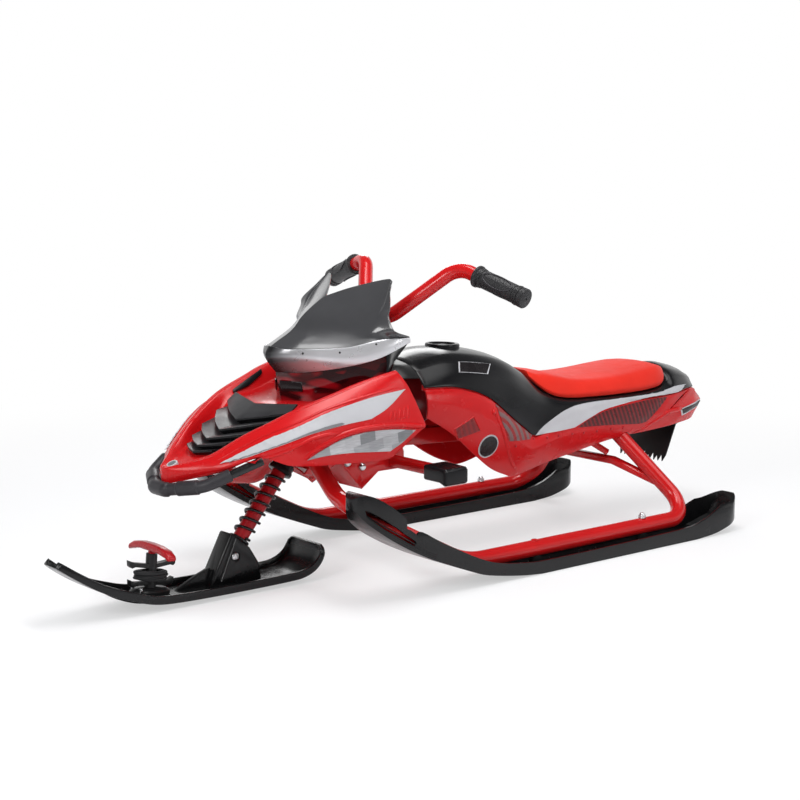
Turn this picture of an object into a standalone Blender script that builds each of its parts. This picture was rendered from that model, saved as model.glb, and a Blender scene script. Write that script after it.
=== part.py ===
"""Steering sled for a child: one steered front ski, two rear skis, tube frame and bodywork.

The sled faces -Y, its left side is +X, and it stands on z = 0. All sizes are in metres.
"""
import bpy
import bmesh
from math import cos, pi, radians, sin, tan
from mathutils import Matrix, Vector

# Clearances
GAP = 0.0003                    # between pieces that touch
RUNNING = 0.0006                # round a shaft that turns or slides

# Steering column
RAKE = radians(39.0)            # the column leans back from upright
COLUMN_FOOT = Vector((0.0, -0.324, 0.069))   # centre of the lower spring seat
COLUMN_D = 0.022
COLUMN_BORE_D = 0.018
COLUMN_BELOW = 0.048            # length of tube inside the ski tower
COLUMN_LENGTH = 0.428
CROSS_BOLT_DROP = 0.024         # cross bolt below the lower spring seat
CROSS_BOLT_D = 0.006

# Coil spring
SPRING_WIRE = 0.0042
SPRING_PLAY = 0.0011            # between the coil's bore and the column, on diameter
SPRING_D = COLUMN_D + 2 * SPRING_WIRE + SPRING_PLAY   # over the wire
SPRING_TURNS = 7.5
SPRING_LENGTH = 0.112
SPRING_SEAT_H = 0.004
CUP_D = 0.037
CUP_H = 0.016

# Head tube and stop collar
HEAD_TUBE_D = 0.030
HEAD_TUBE_LENGTH = 0.100
COLLAR_D = 0.028
COLLAR_H = 0.009

# Frame tubes
FRAME_TUBE_D = 0.025
TRACK = 0.380                   # between the centres of the rear skis
RUNNER_Z = 0.031                # runner tube centre above the snow
LEG_FRONT = Vector((0.0, -0.215, 0.200))     # where the front legs meet the head tube
LEG_FRONT_SHOULDER = (0.100, -0.222, 0.136)  # x, y, z of the bend where a front leg flattens out
LEG_FRONT_KNEE = (-0.242, 0.126)             # y, z of the bend into the ski
RUNNER_FRONT_Y = -0.055
RUNNER_REAR_Y = 0.441
REAR_ARCH = (0.052, 0.392, 0.165)            # x, y, z of the bend at the top of a rear leg
RAIL_BENDS = (0.060, 0.056, 0.150, 0.042, 0.026)   # radii at shoulder, knee, runner's ends and arch
SPINE_W = 0.025
SPINE_FRONT = (-0.188, 0.196)                # y, z
SPINE_REAR = (0.412, 0.165)

# Foot pegs
PEG_BAR_D = 0.019
PEG_BAR_Y = -0.056
PEG_BAR_Z = 0.1575
PEG_BAR_LENGTH = 0.330
PEG_SIZE = Vector((0.052, 0.044, 0.020))
PEG_OVER = 0.010                # rubber past the end of the bar
SHEET = 0.0025                  # folded steel sheet

# Rear skis
SKI_W = 0.066
SKI_WALL = 0.0045
SKI_FLOOR = 0.0055
SKI_TAIL_Y = 0.532

# Front ski
FRONT_SKI_W = 0.088
FRONT_SKI_LIP = 0.0045
TOWER_W = 0.031
TOWER_FRONT = 0.027             # tower wall ahead of the column axis
TOWER_REAR = 0.014

# Handlebar and grips
BAR_D = 0.022
BAR_RISE = 0.0217               # bar's middle above the top of the column
BAR_SET_BACK = 0.0067           # and behind the column's axis
BAR_FLAT = 0.030                # half width of the middle, out to the corner of its bends
BAR_BENDS = (0.040, 0.030)      # bend radii beside a grip and beside the middle
CLAMP_WALL = 0.004              # wall of the clamp beside the column
CLAMP_GRASP = 0.024             # length of column inside the clamp
GRIP_BEND = 0.036               # from the bend in the bar to the inner end of a grip
GRIP_START = Vector((0.142, 0.073, 0.065))   # both measured from the bar's middle
GRIP_END = Vector((0.222, 0.090, 0.038))
GRIP_D = 0.028
GRIP_FLANGE_D = 0.033
GRIP_OVER = 0.006               # grip past the end of the bar

# Bumper
BUMPER_D = 0.0125
SLEEVE_D = 0.0165
BUMPER_END = Vector((0.102, -0.351, 0.2045))
BUMPER_SIDE = Vector((0.066, -0.424, 0.1715))    # corner at the side of the nose
BUMPER_NOSE = Vector((0.013, -0.4530, 0.1630))   # corner at the front
SLEEVE_SHARE = 0.45             # how far the sleeve runs from the side corner to the tube's end
SHELL = 0.0028                  # moulded plastic wall

# Tow gear on the front ski
CLEAT_Y = -0.474
CLEAT_TILT = radians(5.0)
ROPE_RING_R = 0.0128
HANDLE_W = 0.106

MATERIALS = {
    "red_steel": ((0.62, 0.012, 0.010), 0.30, 0.0),
    "red_plastic": ((0.66, 0.010, 0.012), 0.34, 0.0),
    "dark_red_plastic": ((0.22, 0.004, 0.006), 0.30, 0.0),
    "orange_foam": ((0.80, 0.055, 0.022), 0.70, 0.0),
    "black_plastic": ((0.018, 0.018, 0.020), 0.42, 0.0),
    "gloss_black": ((0.012, 0.012, 0.013), 0.12, 0.0),
    "black_rubber": ((0.016, 0.016, 0.016), 0.78, 0.0),
    "black_steel": ((0.014, 0.014, 0.015), 0.35, 0.3),
    "zinc": ((0.62, 0.62, 0.63), 0.30, 1.0),
    "silver_plastic": ((0.55, 0.56, 0.57), 0.35, 0.4),
    "lens": ((0.30, 0.32, 0.33), 0.15, 0.0),
    "rope": ((0.020, 0.020, 0.021), 0.85, 0.0),
}

for old in list(bpy.data.objects):
    bpy.data.objects.remove(old, do_unlink=True)

sled = bpy.data.collections.new("steering_sled")
cutters = bpy.data.collections.new("cutters")
bpy.context.scene.collection.children.link(sled)
bpy.context.scene.collection.children.link(cutters)


def material(name):
    """Principled material of a part's colour, roughness and metallic value."""
    found = bpy.data.materials.get(name)
    if found:
        return found
    colour, roughness, metallic = MATERIALS[name]
    made = bpy.data.materials.new(name)
    made.use_nodes = True
    shader = made.node_tree.nodes["Principled BSDF"]
    shader.inputs["Base Color"].default_value = (*colour, 1.0)
    shader.inputs["Roughness"].default_value = roughness
    shader.inputs["Metallic"].default_value = metallic
    return made


def add_object(name, mesh, look, collection=None):
    """Link a mesh as a named object with its material."""
    mesh.name = name
    obj = bpy.data.objects.new(name, mesh)
    (collection or sled).objects.link(obj)
    if look:
        mesh.materials.clear()
        mesh.materials.append(material(look))
        mesh.shade_smooth()
        mesh.set_sharp_from_angle(angle=radians(32))
    return obj


def finish(name, bm, look, collection=None):
    """Turn a bmesh into an object whose faces point out."""
    bmesh.ops.recalc_face_normals(bm, faces=bm.faces)
    if bm.calc_volume(signed=True) < 0.0:
        bmesh.ops.reverse_faces(bm, faces=bm.faces)
    mesh = bpy.data.meshes.new(name)
    bm.to_mesh(mesh)
    bm.free()
    return add_object(name, mesh, look, collection)


def evaluated(obj):
    """Mesh of an object with its modifiers applied, in world space."""
    depsgraph = bpy.context.evaluated_depsgraph_get()
    mesh = bpy.data.meshes.new_from_object(obj.evaluated_get(depsgraph))
    mesh.transform(obj.matrix_world)
    return mesh


def cutter(obj):
    """Mark an object as a tool that shapes others."""
    for home in list(obj.users_collection):
        home.objects.unlink(obj)
    cutters.objects.link(obj)
    obj.hide_render = True
    obj.display_type = "WIRE"
    return obj


def combine(obj, tool, operation="DIFFERENCE"):
    """Boolean one object with a tool and keep the result as the object's mesh."""
    cutter(tool)
    step = obj.modifiers.new(operation.title(), "BOOLEAN")
    step.operation = operation
    step.object = tool
    step.solver = "EXACT"
    bpy.context.view_layer.update()
    mesh = evaluated(obj)
    obj.modifiers.clear()
    looks = [slot.material for slot in obj.material_slots][:1]
    bm = bmesh.new()
    bm.from_mesh(mesh)
    bmesh.ops.remove_doubles(bm, verts=bm.verts, dist=1e-6)
    bmesh.ops.dissolve_degenerate(bm, dist=1e-6, edges=bm.edges)
    bmesh.ops.delete(bm, geom=[e for e in bm.edges if not e.link_faces], context="EDGES")
    bmesh.ops.delete(bm, geom=[v for v in bm.verts if not v.link_faces], context="VERTS")
    bm.to_mesh(mesh)
    bm.free()
    obj.data = mesh
    obj.matrix_world = Matrix.Identity(4)
    mesh.materials.clear()
    for look in looks:
        mesh.materials.append(look)
    mesh.shade_smooth()
    mesh.set_sharp_from_angle(angle=radians(32))
    return obj


def baked(obj):
    """Apply an object's modifiers to its own mesh."""
    bpy.context.view_layer.update()
    mesh = evaluated(obj)
    obj.modifiers.clear()
    obj.data = mesh
    obj.matrix_world = Matrix.Identity(4)
    return obj


def bevel(obj, width, segments=2, angle=35.0):
    """Round the edges that are sharper than an angle."""
    step = obj.modifiers.new("Rounded edges", "BEVEL")
    step.width = width
    step.segments = segments
    step.limit_method = "ANGLE"
    step.angle_limit = radians(angle)
    step.use_clamp_overlap = True
    return obj


def column_point(t, across=0.0, side=0.0):
    """Point at height t along the column, across in the sled's middle plane, side along X."""
    up = Vector((0.0, sin(RAKE), cos(RAKE)))
    back = Vector((0.0, cos(RAKE), -sin(RAKE)))
    return COLUMN_FOOT + up * t + back * across + Vector((side, 0.0, 0.0))


def column_frame(t):
    """Matrix whose Z runs up the column, with its origin at height t."""
    turn = Matrix.Rotation(-RAKE, 4, "X")
    return Matrix.Translation(column_point(t)) @ turn


def frame_between(start, end):
    """Matrix at the start point whose Z axis points to the end point."""
    direction = (end - start).normalized()
    return Matrix.Translation(start) @ direction.to_track_quat("Z", "Y").to_matrix().to_4x4()


def turned(name, profile, place, look, steps=24, collection=None):
    """Solid of revolution. The profile runs (radius, height), closed, anticlockwise."""
    bm = bmesh.new()
    rings = []
    for k in range(steps):
        angle = 2.0 * pi * k / steps
        rings.append([bm.verts.new((r * cos(angle), r * sin(angle), z)) for r, z in profile])
    count = len(profile)
    for k in range(steps):
        here, there = rings[k], rings[(k + 1) % steps]
        for i in range(count):
            j = (i + 1) % count
            if max(profile[i][0], profile[j][0]) > 0.0:
                bm.faces.new((here[i], there[i], there[j], here[j]))
    bmesh.ops.remove_doubles(bm, verts=bm.verts, dist=1e-7)
    bmesh.ops.dissolve_degenerate(bm, dist=1e-7, edges=bm.edges)
    bm.transform(place)
    return finish(name, bm, look, collection)


def ring_profile(inner, outer, low, high, chamfer=0.0):
    """Cross-section of a washer or sleeve, with chamfered outer corners."""
    if chamfer == 0.0:
        return [(inner, low), (outer, low), (outer, high), (inner, high)]
    return [(inner, low), (outer - chamfer, low), (outer, low + chamfer),
            (outer, high - chamfer), (outer - chamfer, high), (inner, high)]


def cylinder(name, radius, length, place, look, steps=24, collection=None):
    """Closed cylinder that starts at the frame's origin and runs up its Z."""
    bm = bmesh.new()
    bmesh.ops.create_cone(bm, cap_ends=True, segments=steps, radius1=radius, radius2=radius, depth=length)
    bmesh.ops.translate(bm, verts=bm.verts, vec=(0.0, 0.0, length / 2))
    bm.transform(place)
    return finish(name, bm, look, collection)


def box(name, size, centre, look, turn=None, collection=None):
    """Box of a size about a centre, turned by a matrix first."""
    bm = bmesh.new()
    bmesh.ops.create_cube(bm, size=1.0)
    bmesh.ops.scale(bm, verts=bm.verts, vec=size)
    if turn:
        bm.transform(turn)
    bmesh.ops.translate(bm, verts=bm.verts, vec=centre)
    return finish(name, bm, look, collection)


def side_plate(name, outline, x_low, x_high, look, collection=None):
    """Flat outline in the YZ plane, given as (y, z) points, made thick along X."""
    bm = bmesh.new()
    low = [bm.verts.new((x_low, y, z)) for y, z in outline]
    high = [bm.verts.new((x_high, y, z)) for y, z in outline]
    bm.faces.new(low)
    bm.faces.new(list(reversed(high)))
    count = len(outline)
    for i in range(count):
        j = (i + 1) % count
        bm.faces.new((low[i], high[i], high[j], low[j]))
    return finish(name, bm, look, collection)


def plan_plate(name, outline, z_low, z_high, look, collection=None):
    """Flat outline in the XY plane made thick along Z."""
    bm = bmesh.new()
    low = [bm.verts.new((x, y, z_low)) for x, y in outline]
    high = [bm.verts.new((x, y, z_high)) for x, y in outline]
    bm.faces.new(low)
    bm.faces.new(list(reversed(high)))
    count = len(outline)
    for i in range(count):
        j = (i + 1) % count
        bm.faces.new((low[i], high[i], high[j], low[j]))
    return finish(name, bm, look, collection)


def spline(points, steps):
    """Smooth curve through points (Catmull-Rom), with a number of steps for each span."""
    points = [Vector(p) for p in points]
    ends = [points[0] * 2 - points[1]] + points + [points[-1] * 2 - points[-2]]
    curve = []
    for i in range(1, len(ends) - 2):
        before, here, there, after = ends[i - 1:i + 3]
        for k in range(steps):
            t = k / steps
            curve.append(0.5 * (2 * here + (there - before) * t
                                + (2 * before - 5 * here + 4 * there - after) * t ** 2
                                + (3 * here - before - 3 * there + after) * t ** 3))
    curve.append(points[-1])
    return curve


def bent_path(corners, radius, steps=5):
    """Straight runs through corner points, each corner replaced by an arc."""
    corners = [Vector(c) for c in corners]
    radii = radius if isinstance(radius, (list, tuple)) else [radius] * (len(corners) - 2)
    path = [corners[0]]
    for before, here, after, bend in zip(corners, corners[1:], corners[2:], radii):
        to_before = (before - here).normalized()
        to_after = (after - here).normalized()
        half = to_before.angle(to_after) / 2
        trim = bend / tan(half)
        middle = here + (to_before + to_after).normalized() * (bend / sin(half))
        start = here + to_before * trim - middle
        end = here + to_after * trim - middle
        sweep = start.angle(end)
        for k in range(steps + 1):
            t = k / steps
            point = (start * sin((1 - t) * sweep) + end * sin(t * sweep)) / sin(sweep)
            path.append(middle + point)
    path.append(corners[-1])
    return path


def tube(name, path, diameter, look, resolution=4, collection=None):
    """Round bar along a path: a bevelled curve with filled caps, made a mesh."""
    curve = bpy.data.curves.new(name + "_path", "CURVE")
    curve.dimensions = "3D"
    curve.bevel_depth = diameter / 2
    curve.bevel_resolution = resolution
    curve.use_fill_caps = True
    curve.resolution_u = 1
    curve.render_resolution_u = 1
    line = curve.splines.new("POLY")
    line.points.add(len(path) - 1)
    for point, place in zip(line.points, path):
        point.co = (*place, 1.0)
    shape = bpy.data.objects.new(name + "_path", curve)
    cutters.objects.link(shape)
    bpy.context.view_layer.update()
    mesh = evaluated(shape)
    bpy.data.objects.remove(shape, do_unlink=True)
    bm = bmesh.new()
    bm.from_mesh(mesh)
    bmesh.ops.remove_doubles(bm, verts=bm.verts, dist=1e-6)
    bpy.data.meshes.remove(mesh)
    return finish(name, bm, look, collection)


def grid_surface(bm, rows, skip=None):
    """Faces between rows of points; skip(row, column) leaves a cell open."""
    verts = [[bm.verts.new(p) for p in row] for row in rows]
    for i in range(len(rows) - 1):
        for j in range(len(rows[0]) - 1):
            if skip and skip(i, j):
                continue
            corners = (verts[i][j], verts[i][j + 1], verts[i + 1][j + 1], verts[i + 1][j])
            if len(set(corners)) == 4:
                bm.faces.new(corners)
    bmesh.ops.remove_doubles(bm, verts=bm.verts, dist=1e-6)
    loose = [v for v in bm.verts if not v.link_faces]
    bmesh.ops.delete(bm, geom=loose, context="VERTS")


def shell(name, rows, thickness, look, skip=None, mirror=True, outward=-1.0, flip=False):
    """Moulded wall: a half surface, mirrored over the middle plane and made thick."""
    bm = bmesh.new()
    grid_surface(bm, rows, skip)
    if flip:
        bmesh.ops.reverse_faces(bm, faces=bm.faces)
    mesh = bpy.data.meshes.new(name)
    bm.to_mesh(mesh)
    bm.free()
    obj = add_object(name, mesh, look)
    if mirror:
        step = obj.modifiers.new("Other side", "MIRROR")
        step.use_clip = True
        step.merge_threshold = 0.0001
    step = obj.modifiers.new("Wall", "SOLIDIFY")
    step.thickness = thickness
    step.offset = outward
    step.use_even_offset = True
    return baked(obj)


def loft(name, sections, look, collection=None):
    """Closed body through like closed sections, with flat ends."""
    bm = bmesh.new()
    loops = [[bm.verts.new(p) for p in section] for section in sections]
    count = len(loops[0])
    for here, there in zip(loops, loops[1:]):
        for i in range(count):
            j = (i + 1) % count
            bm.faces.new((here[i], here[j], there[j], there[i]))
    bm.faces.new(list(reversed(loops[0])))
    bm.faces.new(loops[-1])
    bmesh.ops.remove_doubles(bm, verts=bm.verts, dist=1e-6)
    return finish(name, bm, look, collection)


def mirrored(points):
    """Half section (x >= 0, listed top to bottom) closed over the middle plane."""
    other = [(-x, y, z) for x, y, z in reversed(points) if x > 1e-9]
    return list(points) + other


# Steering assembly

def steering_column():
    """Steel tube from the ski tower up to the handlebar clamp, cross-drilled for its bolt."""
    low = -COLUMN_BELOW
    high = COLUMN_LENGTH - COLUMN_BELOW
    profile = ring_profile(COLUMN_BORE_D / 2, COLUMN_D / 2, low, high)
    obj = turned("steering_column", profile, column_frame(0.0), "red_steel", steps=20)
    hole = cylinder("column_cross_hole", CROSS_BOLT_D / 2 + GAP, COLUMN_D * 2, cross_bolt_frame(-COLUMN_D),
                    None, 12, cutters)
    return combine(obj, hole)


def cross_bolt_frame(start):
    """Frame of the cross bolt, with Z along X and its origin at x = start."""
    place = column_point(-CROSS_BOLT_DROP) + Vector((start, 0.0, 0.0))
    return Matrix.Translation(place) @ Matrix.Rotation(radians(90), 4, "Y")


def cross_bolt():
    """Bolt with a domed head in the tower's left recess, and its nut on the right."""
    half = TOWER_W / 2
    recess = 0.002
    head = 0.0035
    shank = CROSS_BOLT_D / 2
    profile = [(0.0, -half - 0.004), (shank, -half - 0.004), (shank, half - recess + GAP),
               (0.0058, half - recess + GAP), (0.0050, half - recess + head * 0.7),
               (0.0028, half - recess + head), (0.0, half - recess + head)]
    turned("ski_cross_bolt", profile, cross_bolt_frame(0.0), "zinc", 12)
    low = -half + recess - GAP
    bore = (shank + GAP) / cos(pi / 6)
    nut = [(bore, low - 0.005), (0.0060, low - 0.005), (0.0060, low), (bore, low)]
    turned("ski_cross_nut", nut, cross_bolt_frame(0.0), "zinc", 6)


def spring_parts():
    """Lower seat on the tower, coil spring and the upper cup below the head tube."""
    column_r = COLUMN_D / 2
    seat_low = GAP
    seat_high = SPRING_SEAT_H
    turned("spring_seat", ring_profile(column_r + GAP, CUP_D / 2 - 0.0025, seat_low, seat_high, 0.0008),
           column_frame(0.0), "black_steel", 20)
    wire = SPRING_WIRE / 2
    low = seat_high + GAP + wire
    high = low + SPRING_LENGTH - SPRING_WIRE
    radius = SPRING_D / 2 - wire
    per_turn = 14
    count = int(SPRING_TURNS * per_turn)
    place = column_frame(0.0)
    path = []
    for k in range(count + 1):
        angle = 2.0 * pi * k / per_turn
        path.append(place @ Vector((radius * cos(angle), radius * sin(angle), low + (high - low) * k / count)))
    tube("coil_spring", path, SPRING_WIRE, "black_steel", 1)
    cup_low = high + wire + GAP
    cup = [(column_r + RUNNING, cup_low), (CUP_D / 2 - 0.002, cup_low), (CUP_D / 2, cup_low + 0.0015),
           (CUP_D / 2, cup_low + 0.006), (CUP_D / 2 - 0.0015, cup_low + 0.0075),
           (CUP_D / 2 - 0.0015, cup_low + CUP_H - 0.001), (CUP_D / 2 - 0.0025, cup_low + CUP_H),
           (column_r + RUNNING, cup_low + CUP_H)]
    turned("spring_cup", cup, column_frame(0.0), "black_plastic", 20)
    return cup_low + CUP_H


def head_tube(cup_top):
    """Sleeve of the frame that the column turns and slides in, and the stop collar above it."""
    low = cup_top + GAP
    high = low + HEAD_TUBE_LENGTH
    turned("head_tube", ring_profile(COLUMN_D / 2 + RUNNING, HEAD_TUBE_D / 2, low, high, 0.001),
           column_frame(0.0), "red_steel", 24)
    turned("stop_collar", ring_profile(COLUMN_D / 2 + GAP, COLLAR_D / 2, high + GAP, high + GAP + COLLAR_H, 0.001),
           column_frame(0.0), "zinc", 20)
    return low, high


def bar_middle():
    """Centre of the handlebar between the halves of its clamp."""
    return column_point(COLUMN_LENGTH - COLUMN_BELOW + BAR_RISE, BAR_SET_BACK)


def handlebar_path():
    """Centre line of the handlebar, from the right end to the left end."""
    along = (GRIP_END - GRIP_START).normalized()
    half = [bar_middle() + p for p in
            (GRIP_END - along * 0.001, GRIP_START - along * GRIP_BEND, Vector((BAR_FLAT, 0.0, 0.0)))]
    corners = [Vector((-p.x, p.y, p.z)) for p in half] + list(reversed(half))
    outer, inner = BAR_BENDS
    return bent_path(corners, [outer, inner, inner, outer], 6)


def handlebar_parts():
    """Bent bar, its two-piece clamp on the column and the rubber grips."""
    tube("handlebar", handlebar_path(), BAR_D, "red_steel", 4)
    top = COLUMN_LENGTH - COLUMN_BELOW
    place = column_frame(0.0)
    bar = place.inverted() @ bar_middle()
    width = COLUMN_D + 2 * CLAMP_WALL
    wall = 0.006
    half = BAR_D / 2
    outer = half + wall
    low = top - CLAMP_GRASP
    base = box("handlebar_clamp_base", (width, 2 * outer, bar.z - low - GAP),
               (0.0, bar.y, (bar.z + low - GAP) / 2), "black_steel")
    base.data.transform(place)
    cap = box("handlebar_clamp_cap", (width, 2 * outer, outer - 0.002), (0.0, bar.y, bar.z + (outer - 0.002) / 2),
              "black_steel")
    cap.data.transform(place)
    for piece in (base, cap):
        bevel(piece, 0.0022, 2)
        baked(piece)
    across = Matrix.Translation(bar_middle() - Vector((width, 0.0, 0.0))) @ Matrix.Rotation(radians(90), 4, "Y")
    bar_hole = cylinder("bar_hole", half + GAP, width * 2, across, None, 24, cutters)
    combine(base, bar_hole)
    combine(cap, bar_hole)
    socket = cylinder("clamp_socket", COLUMN_D / 2 + GAP, top - low + 0.010 + GAP,
                      column_frame(low - 0.010), None, 20, cutters)
    combine(base, socket)
    for side, name in ((1, "left_grip"), (-1, "right_grip")):
        start, end = (bar_middle() + Vector((side * p.x, p.y, p.z)) for p in (GRIP_START, GRIP_END))
        length = (end - start).length
        inner = half + GAP
        body = GRIP_D / 2
        flange = GRIP_FLANGE_D / 2
        profile = [(inner, 0.0), (flange - 0.001, 0.0), (flange, 0.001), (flange, 0.0025), (body, 0.0042),
                   (body - 0.0006, length * 0.5), (body, length - 0.006), (body + 0.0009, length - 0.004),
                   (body + 0.0009, length + GRIP_OVER - 0.004), (body - 0.001, length + GRIP_OVER - 0.001),
                   (body - 0.004, length + GRIP_OVER), (0.0, length + GRIP_OVER), (0.0, length), (inner, length)]
        turned(name, profile, frame_between(start, end), "black_rubber", 20)


# Front ski

FRONT_SKI_LINE = [              # y, z of the side edge's underside, half width as a share, lip height
    (-0.6330, 0.0830, 0.33, 0.0060), (-0.6240, 0.0760, 0.47, 0.0080), (-0.6060, 0.0630, 0.60, 0.0095),
    (-0.5760, 0.0440, 0.75, 0.0110), (-0.5520, 0.0320, 0.85, 0.0120), (-0.5290, 0.0230, 0.93, 0.0125),
    (-0.4970, 0.0130, 0.99, 0.0125), (-0.4640, 0.0085, 1.00, 0.0125), (-0.4000, 0.0065, 1.00, 0.0125),
    (-0.3200, 0.0060, 1.00, 0.0125), (-0.2620, 0.0065, 1.00, 0.0125), (-0.2390, 0.0080, 1.00, 0.0120),
    (-0.2200, 0.0140, 1.00, 0.0115), (-0.2065, 0.0245, 1.00, 0.0105), (-0.1995, 0.0370, 0.99, 0.0090),
    (-0.1985, 0.0460, 0.93, 0.0080), (-0.1990, 0.0515, 0.80, 0.0070),
]
FRONT_SKI_KEEL = 0.0060         # the keel lies this far below the side edges
FRONT_SKI_FLOOR = 0.0035        # floor above the side edges' underside


def front_ski():
    """Moulded ski: lipped and keeled blade, kicked-up tail, ribbed tower with the column socket."""
    sections = []
    line = [Vector((0.0, y, z)) for y, z, _, _ in FRONT_SKI_LINE]
    for k, (_, _, share, lip) in enumerate(FRONT_SKI_LINE):
        along = (line[min(k + 1, len(line) - 1)] - line[max(k - 1, 0)]).normalized()
        up = Vector((0.0, -along.z, along.y))
        keel = min(1.0, max(0.0, 3.2 - abs(k - 7.5)))
        w = share * FRONT_SKI_W / 2
        t = FRONT_SKI_LIP
        drop = FRONT_SKI_KEEL * keel
        half = [(0.0, FRONT_SKI_FLOOR + 0.002), (w - t - 0.004, FRONT_SKI_FLOOR), (w - t, lip - 0.001), (w - 0.001, lip),
                (w, lip - 0.001), (w, 0.001), (w - 0.003, 0.0), (0.0075, 0.0), (0.0050, -drop), (0.0, -drop)]
        half = [(x, line[k].y + up.y * h, line[k].z + up.z * h) for x, h in half]
        sections.append(mirrored(half))
    obj = loft("front_ski", sections, "black_plastic")
    top_front = column_point(0.0, -TOWER_FRONT)
    top_rear = column_point(0.0, TOWER_REAR)
    outline = [(top_front.y, top_front.z), (top_rear.y, top_rear.z), (-0.298, 0.036), (-0.293, 0.0085),
               (-0.396, 0.0085), (-0.393, 0.024)]
    half = TOWER_W / 2
    tower = side_plate("tower", outline, -half, half, None)
    bevel(tower, 0.0025, 2, 60)
    baked(tower)
    rib = side_plate("tower_rib", [(-0.436, 0.0095), (-0.368, 0.0530), (-0.360, 0.0095)], -0.004, 0.004, None)
    groove_a = Vector((0.0, top_front.y, top_front.z)).lerp(Vector((0.0, top_rear.y, top_rear.z)), 0.24)
    groove_b = Vector((0.0, -0.380, 0.019))
    for side in (-1, 1):
        out = Vector((side * (half + 0.0008), 0.0, 0.0))
        combine(tower, tube("tower_groove", [groove_a + out + Vector((0, 0, 0.004)), groove_b + out], 0.0055, None, 1))
        combine(tower, cylinder("bolt_recess", 0.0078, 0.004, cross_bolt_frame(side * half - 0.002), None, 20, cutters))
    combine(obj, tower, "UNION")
    combine(obj, rib, "UNION")
    combine(obj, cylinder("column_socket", COLUMN_D / 2 + GAP, 0.08, column_frame(-COLUMN_BELOW - GAP), None, 20, cutters))
    combine(obj, cylinder("tower_bolt_hole", CROSS_BOLT_D / 2 + GAP, TOWER_W * 2, cross_bolt_frame(-TOWER_W), None, 12,
                          cutters))
    return obj


def ski_floor_z(y):
    """Height of the front ski's floor on the middle line."""
    line = FRONT_SKI_LINE
    for (y0, z0, _, _), (y1, z1, _, _) in zip(line, line[1:]):
        if y0 <= y <= y1:
            return z0 + (z1 - z0) * (y - y0) / (y1 - y0) + FRONT_SKI_FLOOR + 0.002
    return line[-1][1]


def tow_frame(height):
    """Frame on the cleat's axis, with Z up the axis and its origin above the ski floor."""
    foot = Vector((0.0, CLEAT_Y, ski_floor_z(CLEAT_Y)))
    up = Vector((0.0, sin(CLEAT_TILT), cos(CLEAT_TILT)))
    return Matrix.Translation(foot + up * height) @ Matrix.Rotation(-CLEAT_TILT, 4, "X")


def tow_gear():
    """Cleat with four horns, the rope wound between them, and the T-handle in the cleat's split post."""
    post_r = 0.0080
    post_top = 0.058
    stem_w = 0.0115
    stem_t = 0.0062
    stem_low = 0.0300
    bar_z = 0.0665
    cleat = cylinder("tow_cleat", post_r, post_top - 0.0025, tow_frame(0.0025), "black_plastic", 20)
    foot = turned("cleat_foot", [(0.0, 0.0005), (0.0190, 0.0005), (0.0190, 0.0060), (0.0150, 0.0095), (0.0, 0.0120)],
                  tow_frame(0.0) @ Matrix.Diagonal((1.0, 1.65, 1.0, 1.0)), None, 20)
    combine(cleat, foot, "UNION")
    for height, reach, thick, rise in ((0.0160, 0.034, 0.0050, 0.001), (0.0400, 0.036, 0.0060, 0.004)):
        for side in (-1, 1):
            horn = [(side * 0.002, height - thick / 2), (side * (reach - 0.008), height - thick / 2 + rise),
                    (side * (reach - 0.003), height - 0.0045 + rise), (side * reach, height - 0.002 + rise),
                    (side * (reach + 0.001), height + 0.006 + rise), (side * (reach - 0.006), height + thick / 2 + rise),
                    (side * 0.002, height + thick / 2)]
            arm = side_plate("cleat_horn", horn, -0.0050, 0.0050, None)
            arm.data.transform(tow_frame(0.0))
            combine(cleat, arm, "UNION")
    line = [(y, z + FRONT_SKI_FLOOR + 0.002 + 2 * GAP) for y, z, _, _ in FRONT_SKI_LINE if -0.56 < y < -0.39]
    floor = side_plate("cleat_floor", line + [(-0.39, -0.02), (-0.56, -0.02)], -0.03, 0.03, None)
    combine(cleat, floor)
    slot_low = stem_low - GAP
    channel = box("cleat_slot", (stem_w + 2 * GAP, stem_t + 2 * GAP, 0.040), (0.0, 0.0, slot_low + 0.020), None)
    channel.data.transform(tow_frame(0.0))
    combine(cleat, channel)
    oval = []
    for k in range(10):
        angle = 2 * pi * k / 10
        oval.append((ROPE_RING_R + 0.0042 * cos(angle), 0.0280 + 0.0072 * sin(angle)))
    turned("tow_rope", oval, tow_frame(0.0) @ Matrix.Diagonal((1.0, 1.65, 1.0, 1.0)), "rope", 20)
    stem = box("tow_handle", (stem_w, stem_t, bar_z - stem_low), (0.0, 0.0, (bar_z + stem_low) / 2), "red_plastic")
    stem.data.transform(tow_frame(0.0))
    half = HANDLE_W / 2
    upper = [(0.0, 0.0060), (0.4 * half, 0.0052), (0.76 * half, 0.0022), (0.96 * half, -0.0035), (half, -0.0075)]
    lower = [(0.97 * half, -0.0115), (0.80 * half, -0.0080), (0.45 * half, -0.0050), (0.0, -0.0050)]
    outline = upper + lower
    outline += [(-x, z) for x, z in reversed(outline) if x > 0]
    bar = plan_plate("tow_handle_bar", outline, -0.0070, 0.0070, None)
    lay_up = Matrix.Translation((0.0, 0.0, bar_z)) @ Matrix.Rotation(radians(90), 4, "X")
    bar.data.transform(tow_frame(0.0) @ lay_up)
    bevel(bar, 0.0038, 2, 40)
    baked(bar)
    combine(stem, bar, "UNION")
    for side, name in ((1, "left_cleat_screw"), (-1, "right_cleat_screw")):
        place = tow_frame(0.0) @ Matrix.Translation((side * 0.0115, -0.0215, 0.0))
        seat = cylinder("screw_seat", 0.0032, 0.02, place @ Matrix.Translation((0, 0, 0.0030)), None, 12, cutters)
        combine(cleat, seat)
        cylinder(name, 0.0028, 0.0080, place @ Matrix.Translation((0, 0, 0.0030 + GAP)), "zinc", 12)


# Frame

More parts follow.
